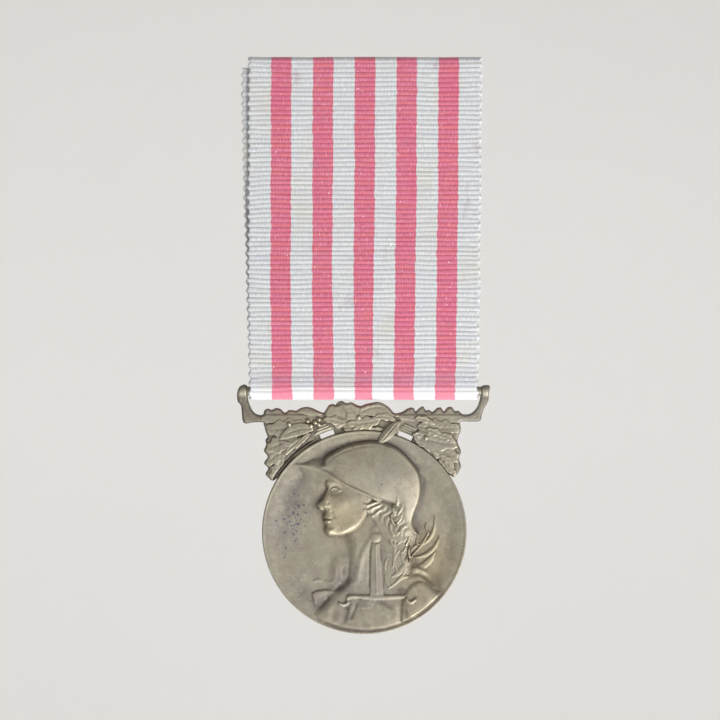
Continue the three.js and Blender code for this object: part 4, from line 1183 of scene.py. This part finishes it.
def build_rim_leaf():
    """The one leaf that laps over the disc's rim: a blade with a raised midrib, bent down over the rim."""
    upper = spline([
        (5.9, 18.1), (4.7, 17.95), (3.5, 17.0), (2.7, 15.95), (2.3, 15.1), (2.15, 14.45),
    ], False, 5)
    lower = spline([
        (5.9, 18.0), (5.75, 17.2), (5.15, 16.2), (4.3, 15.25), (3.3, 14.6), (2.25, 14.4),
    ], False, 5)
    columns = np.linspace(0, 1, 25)
    rows = []
    for k, (a, b) in enumerate(zip(upper, lower)):
        s = k / (len(upper) - 1)
        lift = 0.78 + 0.42 * smooth_step(s, 0.15, 0.55)
        for c in columns:
            from_side = min(c, 1 - c) * 2
            roof = 0.2 * from_side + 0.1 * float(swell(from_side, 0.3))
            midrib = 0.14 * math.exp(-(((c - 0.5) / 0.06) ** 2))
            groove = midrib + 0.03 * math.sin(40 * s + 14 * abs(c - 0.5)) ** 2
            x, z = a * (1 - c) + b * c
            rows.append((x, -lift - (roof - groove) * min(1, 6 * s + 0.3, 5 * (1 - s) + 0.1), z))
    top = np.array(rows)
    bottom = top + [0, 0.42, 0]
    ids = np.arange(len(rows)).reshape(len(upper), len(columns))
    quads = grid_quads(ids)
    border = np.concatenate([ids[:, 0], ids[-1, 1:], ids[-2::-1, -1], ids[0, -2:0:-1]])
    faces = quads.tolist() + (quads + len(rows))[:, ::-1].tolist()
    onward = np.roll(border, -1)
    faces += np.column_stack([border, border + len(rows), onward + len(rows), onward]).tolist()
    leaf = make_mesh("rim_leaf", np.vstack([top, bottom]) + DISC_CENTRE, faces, bronze, 50)
    store(leaf, "wear_and_painted_light", np.full(len(top) * 2, 0.52))
    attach(leaf, "medal")


build_rim_leaf()


# --- Ribbon: one strip, folded over the brooch and round the bar ---

CLOTH = 0.4  # the cloth's thickness in the grooves between its ribs
HALF_WIDTH = 18.6
FOLD_R = 1.12  # the cloth's middle, round the bar
FRONT_Y, TAIL_Y, HEM_Y = -0.32, 0.3, 0.9  # the layers' places, from the middle plane
BACK_SHIFT = -0.85  # the rear layer lies a little to the left at its top
RIB_HEIGHT = 0.14
SCALLOP = 0.17  # how far each rib swells past the selvedge


def ribbon_path(step):
    """The strip's middle line, from the hem's end to the tail's, at even steps.

    What comes back is the length run at each step, Y and Z there, and the length run at the bar.
    """
    top = RIBBON_TOP - 0.45
    hem = [(HEM_Y, z) for z in np.linspace(-4.8, top, 12)]
    turn = np.linspace(0, np.pi, 14)[1:-1]
    middle, reach = (HEM_Y + FRONT_Y) / 2, (HEM_Y - FRONT_Y) / 2
    fold = [(middle + reach * math.cos(a), top + 0.34 * math.sin(a)) for a in turn]

    def layer(y, from_z):
        rows = []
        for z in np.linspace(from_z, BAR_Z, 40):
            near = smooth_step(-z, -(FLEX_Z - 4), -(BAR_Z + 0.5))
            rows.append((y + (math.copysign(FOLD_R, y) - y) * near**1.25, z))
        return rows

    down = layer(FRONT_Y, top)
    half_turn = np.linspace(0, np.pi, 16)[1:-1]
    around = [(-FOLD_R * math.cos(a), BAR_Z - FOLD_R * math.sin(a)) for a in half_turn]
    up = layer(TAIL_Y, RIBBON_TOP - 1.5)[::-1]
    path = np.array(hem + fold + down + around + up)
    lengths = np.concatenate([[0], np.cumsum(np.linalg.norm(np.diff(path, axis=0), axis=1))])
    s = np.linspace(0, lengths[-1], int(round(lengths[-1] / step)) + 1)
    bar = lengths[np.argmin(path[:, 1])]
    line = np.column_stack([np.interp(s, lengths, path[:, 0]), np.interp(s, lengths, path[:, 1])])
    return s, line, bar


def build_ribbon():
    """The strip, ribbed across, with a scalloped selvedge; u runs along it and v across."""
    samples = 7  # rows of points to a rib
    s, line, bar_s = ribbon_path(RIB_PITCH / samples)
    tangent = np.gradient(line, axis=0)
    tangent /= np.linalg.norm(tangent, axis=1)[:, None]
    normal = np.column_stack([tangent[:, 1], -tangent[:, 0]])  # out of the strip's shown side
    edge_steps = np.array([0.0, 0.1, 0.25, 0.5, 0.9, 1.5])
    inner = np.linspace(-HALF_WIDTH + 2.4, HALF_WIDTH - 2.4, 27)
    columns = np.concatenate([-HALF_WIDTH + edge_steps, inner, HALF_WIDTH - edge_steps[::-1]])
    rng = np.random.default_rng(7)
    rows, cols = len(s), len(columns)
    u, v = np.meshgrid(s, columns, indexing="ij")

    def slow_noise(count_u, count_v, scale):
        """Smooth random values over the strip, with so many knots along it and across it."""
        knots = rng.normal(0, scale, (count_u, count_v))
        a = np.linspace(0, count_u - 1.001, rows)
        b = np.linspace(0, count_v - 1.001, cols)
        i, j = a.astype(int), b.astype(int)
        fa, fb = smooth_step(a - i, 0, 1)[:, None], smooth_step(b - j, 0, 1)[None, :]
        low = knots[np.ix_(i, j)] * (1 - fb) + knots[np.ix_(i, j + 1)] * fb
        high = knots[np.ix_(i + 1, j)] * (1 - fb) + knots[np.ix_(i + 1, j + 1)] * fb
        return low * (1 - fa) + high * fa

    from_edge = HALF_WIDTH - np.abs(v)
    phase = u / RIB_PITCH + slow_noise(46, 12, 0.11)
    within = 2 * (phase - np.floor(phase)) - 1
    rib_height = RIB_HEIGHT * (1 + slow_noise(150, 14, 0.16)) * (1 + 0.25 * np.exp(-from_edge / 0.8))
    rib = np.sqrt(np.clip(1 - (0.97 * within) ** 2, 0, 1)) * rib_height
    # where the ribs dip between each other; the material paints shade there
    groove = smooth_step(np.abs(within), 0.62, 1.0)
    thin = swell(from_edge, 0.3) * 0.75 + 0.25
    waviness = slow_noise(9, 7, 0.045)
    scallop = SCALLOP * np.cos(np.pi * (phase + 0.5)) * np.exp(-from_edge / 0.4)
    rear = smooth_step(u, bar_s + 3, s[-1])
    x = v + np.sign(v) * scallop + BACK_SHIFT * rear + 0.05 * slow_noise(24, 2, 1.0)
    x += 0.11 * np.cos(np.pi * np.clip(u / bar_s, 0, 1))  # the front layer leans a little
    narrower = 0.25 * np.sign(v)  # where the arms hold the ribbon
    x -= narrower * smooth_step(u, bar_s - 22, bar_s) * smooth_step(-u, -bar_s - 22, -bar_s)
    outer = (CLOTH / 2 + rib * 0.9) * thin + waviness * 0.5
    inner_side = (-CLOTH / 2 - rib * 0.25) * thin + waviness * 0.5

    def surface(offset):
        y = line[:, 0][:, None] + normal[:, 0][:, None] * offset + MID_Y
        z = line[:, 1][:, None] + normal[:, 1][:, None] * offset
        return np.column_stack([x.ravel(), y.ravel(), z.ravel()])

    points = np.vstack([surface(outer), surface(inner_side)])
    ids = np.arange(rows * cols).reshape(rows, cols)
    quads = grid_quads(ids)
    border = np.concatenate([ids[0, :-1], ids[:-1, -1], ids[-1, :0:-1], ids[:0:-1, 0]])
    offset = rows * cols
    onward = np.roll(border, -1)
    sides = np.column_stack([border, onward, onward + offset, border + offset])
    faces = quads.tolist() + (quads + offset)[:, ::-1].tolist() + sides.tolist()
    ribbon = make_mesh("ribbon_cloth", points, faces, grosgrain)
    cloth = ribbon.data.uv_layers.new(name="cloth")
    uv = np.vstack([np.column_stack([v.ravel(), u.ravel()])] * 2) / 100
    loops = np.zeros(len(ribbon.data.loops), int)
    ribbon.data.loops.foreach_get("vertex_index", loops)
    cloth.data.foreach_set("uv", uv[loops].ravel())
    # Painted shade in the grooves between the ribs.
    store(ribbon, "groove", np.tile(groove.ravel(), 2))
    # Painted highlight: the cloth is made paler round its fold under the bar.
    fold = smooth_step(-np.abs(u - bar_s), -2.7, -1.9)
    # Painted shade: a darker band just above the fold round the bar.
    above_fold = bell(u - bar_s + 3.7, 0.9)
    store(ribbon, "fold_highlight", np.tile(fold.ravel(), 2))
    store(ribbon, "shade_above_fold", np.tile(above_fold.ravel(), 2))
    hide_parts("ribbon_head", "ribbon_tail", "ribbon_drop")
    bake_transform(ribbon)


build_ribbon()

# --- Brooch, small metal and the ribbon's bar ---


def bevelled(node, name, body, material, width):
    """The CAD node's own shape with its edges broken, as sheared and tumbled sheet metal has them."""
    crease = math.radians(35)
    mesh = frame["nodes"][node].data.copy()
    mesh.name = name
    piece = bpy.data.objects.new(name, mesh)
    bpy.context.scene.collection.objects.link(piece)
    mesh.materials.clear()
    mesh.materials.append(material)
    weld = piece.modifiers.new("weld", "WELD")
    weld.merge_threshold = 0.002 * MM
    bevel = piece.modifiers.new("bevel", "BEVEL")
    bevel.width, bevel.segments = width * MM, 2
    bevel.limit_method, bevel.angle_limit = "ANGLE", crease
    bevel.use_clamp_overlap = True
    mesh.polygons.foreach_set("use_smooth", np.ones(len(mesh.polygons), bool))
    mesh.set_sharp_from_angle(angle=crease)
    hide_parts(node)
    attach(piece, body)


bevelled("brooch_plate", "plate_finished", "brooch", brass, 0.1)
bevelled("hinge_block", "hinge_finished", "brooch", brass, 0.06)
bevelled("catch_clip", "catch_finished", "brooch", brass, 0.06)
kept_nodes = {
    "hinge_rivet": brass, "pin_stem": steel, "sewing_thread_left": cotton, "sewing_thread_right": cotton,
    "solder_left": solder, "solder_top": solder, "solder_right": solder,
}
for node, material in kept_nodes.items():
    mesh = frame["nodes"][node].data
    mesh.materials.clear()
    mesh.materials.append(material)


def build_bar():
    """The ribbon bar, turned, with a chamfer at each end."""
    ends = [(18.0, 0.74), (19.7, 0.74), (19.9, 0.6)]  # distance from the middle, and radius
    rings = [(-x, radius) for x, radius in ends[::-1]] + ends
    segments = 32
    turn = np.linspace(0, 2 * np.pi, segments, endpoint=False)
    points, faces = [], []
    for x, radius in rings:
        ring = np.column_stack([np.full(segments, x), radius * np.cos(turn), radius * np.sin(turn)])
        points.append(ring + [DISC_X, MID_Y, BAR_Z])
    for k in range(len(rings) - 1):
        ids = np.arange(segments) + k * segments
        faces += strip_between(ids, ids + segments)
    last = (len(rings) - 1) * segments
    faces += [list(range(segments))[::-1], list(range(last, last + segments))]
    bar = make_mesh("ribbon_bar_turned", np.vstack(points), faces, bronze, 40)
    store(bar, "wear_and_painted_light", np.full(len(rings) * segments, 0.6))
    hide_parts("ribbon_bar")
    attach(bar, "medal")


build_bar()

# --- Studio ---


def build_stage():
    """A pale floor that curves up into a wall all round."""
    s = Shader("studio_paper", Roughness=0.9, Emission_Color=rgb(232, 231, 229), Emission_Strength=0.1)
    s.put("Base Color", s.mix(s.noise(s.place(), 3, 3.0), rgb(222, 221, 219), rgb(229, 228, 226)))
    floor_z, radius, height, curve = -0.7, 1.6, 2.0, 0.5  # metres; the floor curves up over the last of them
    profile = [(0.001, floor_z), (radius - curve, floor_z)]
    for a in np.linspace(0, math.pi / 2, 14)[1:]:
        profile.append((radius - curve + curve * math.sin(a), floor_z + curve - curve * math.cos(a)))
    profile.append((radius, floor_z + height))
    turns = 96
    around = np.linspace(0, 2 * math.pi, turns, endpoint=False)
    points, faces = [], []
    for r, z in profile:
        points += [(r * math.cos(t) / MM, r * math.sin(t) / MM, z / MM) for t in around]
    for ring in range(len(profile) - 1):
        a, b = ring * turns, (ring + 1) * turns
        faces += [(a + k, b + k, b + (k + 1) % turns, a + (k + 1) % turns) for k in range(turns)]
    paper = make_mesh("studio_bowl", points, faces, s.material)


def area_light(name, location, aim, size, power, colour=(1, 1, 1)):
    """A soft box that the camera doesn't see. Places and sizes are in metres, power in watts."""
    light = bpy.data.lights.new(name, "AREA")
    light.shape = "RECTANGLE"
    light.size, light.size_y = size
    light.energy, light.color = power, colour
    lamp = bpy.data.objects.new(name, light)
    lamp.location = location
    lamp.rotation_euler = (Vector(aim) - Vector(location)).to_track_quat("-Z", "Y").to_euler()
    lamp.visible_camera = False
    bpy.context.scene.collection.objects.link(lamp)


def build_studio():
    """The paper bowl, a low key light, soft fills, and lights that wash its walls."""
    build_stage()
    middle = (0, 0, -0.045)
    warm = (1.0, 0.98, 0.95)
    area_light("key_low", (0.26, -0.36, -0.46), (0, 0, -0.06), (0.26, 0.26), 4.7, (0.98, 0.98, 1.0))
    area_light("fill_front", (0.55, -0.95, 0.05), middle, (0.6, 0.6), 1.2, warm)
    area_light("top", (0.0, 0.35, 0.85), middle, (0.9, 0.9), 3.0)
    area_light("fill_back", (0.5, 0.65, -0.4), middle, (0.5, 0.5), 5.5, warm)
    walls = (("back", 90, 1.6), ("right", 0, 2.2), ("left", 180, 1.4), ("front", 270, 2.0))
    for side, degrees, power in walls:
        c, d = math.cos(math.radians(degrees)), math.sin(math.radians(degrees))
        area_light("wall_" + side, (0.95 * c, 0.95 * d, -0.3), (1.6 * c, 1.6 * d, 0.1), (0.9, 0.4), power)
    world = bpy.data.worlds.new("studio_world")
    world.use_nodes = True
    sky = world.node_tree.nodes["Background"].inputs
    sky["Color"].default_value = (*warm, 1)
    sky["Strength"].default_value = 0.2
    bpy.context.scene.world = world
    bpy.context.scene.view_settings.view_transform = "Standard"


def build_camera():
    """Square on to the obverse and a little above it, as far off as a long lens on a copy stand."""
    elevation = math.radians(4)
    distance = 0.6
    span = 0.1159  # the width that the picture takes in at the medal
    aim = Vector((-0.7 * MM, MID_Y * MM, cad_box[1][2] - 48.4 * MM))
    data = bpy.data.cameras.new("camera")
    data.sensor_width = 36
    data.lens = 36 * distance / span
    data.clip_start, data.clip_end = 0.01, 20
    camera = bpy.data.objects.new("camera", data)
    back = Vector((0, -math.cos(elevation), math.sin(elevation)))
    camera.location = aim + back * distance
    camera.rotation_euler = (-back).to_track_quat("-Z", "Y").to_euler()
    bpy.context.scene.collection.objects.link(camera)
    bpy.context.scene.camera = camera


build_studio()
build_camera()
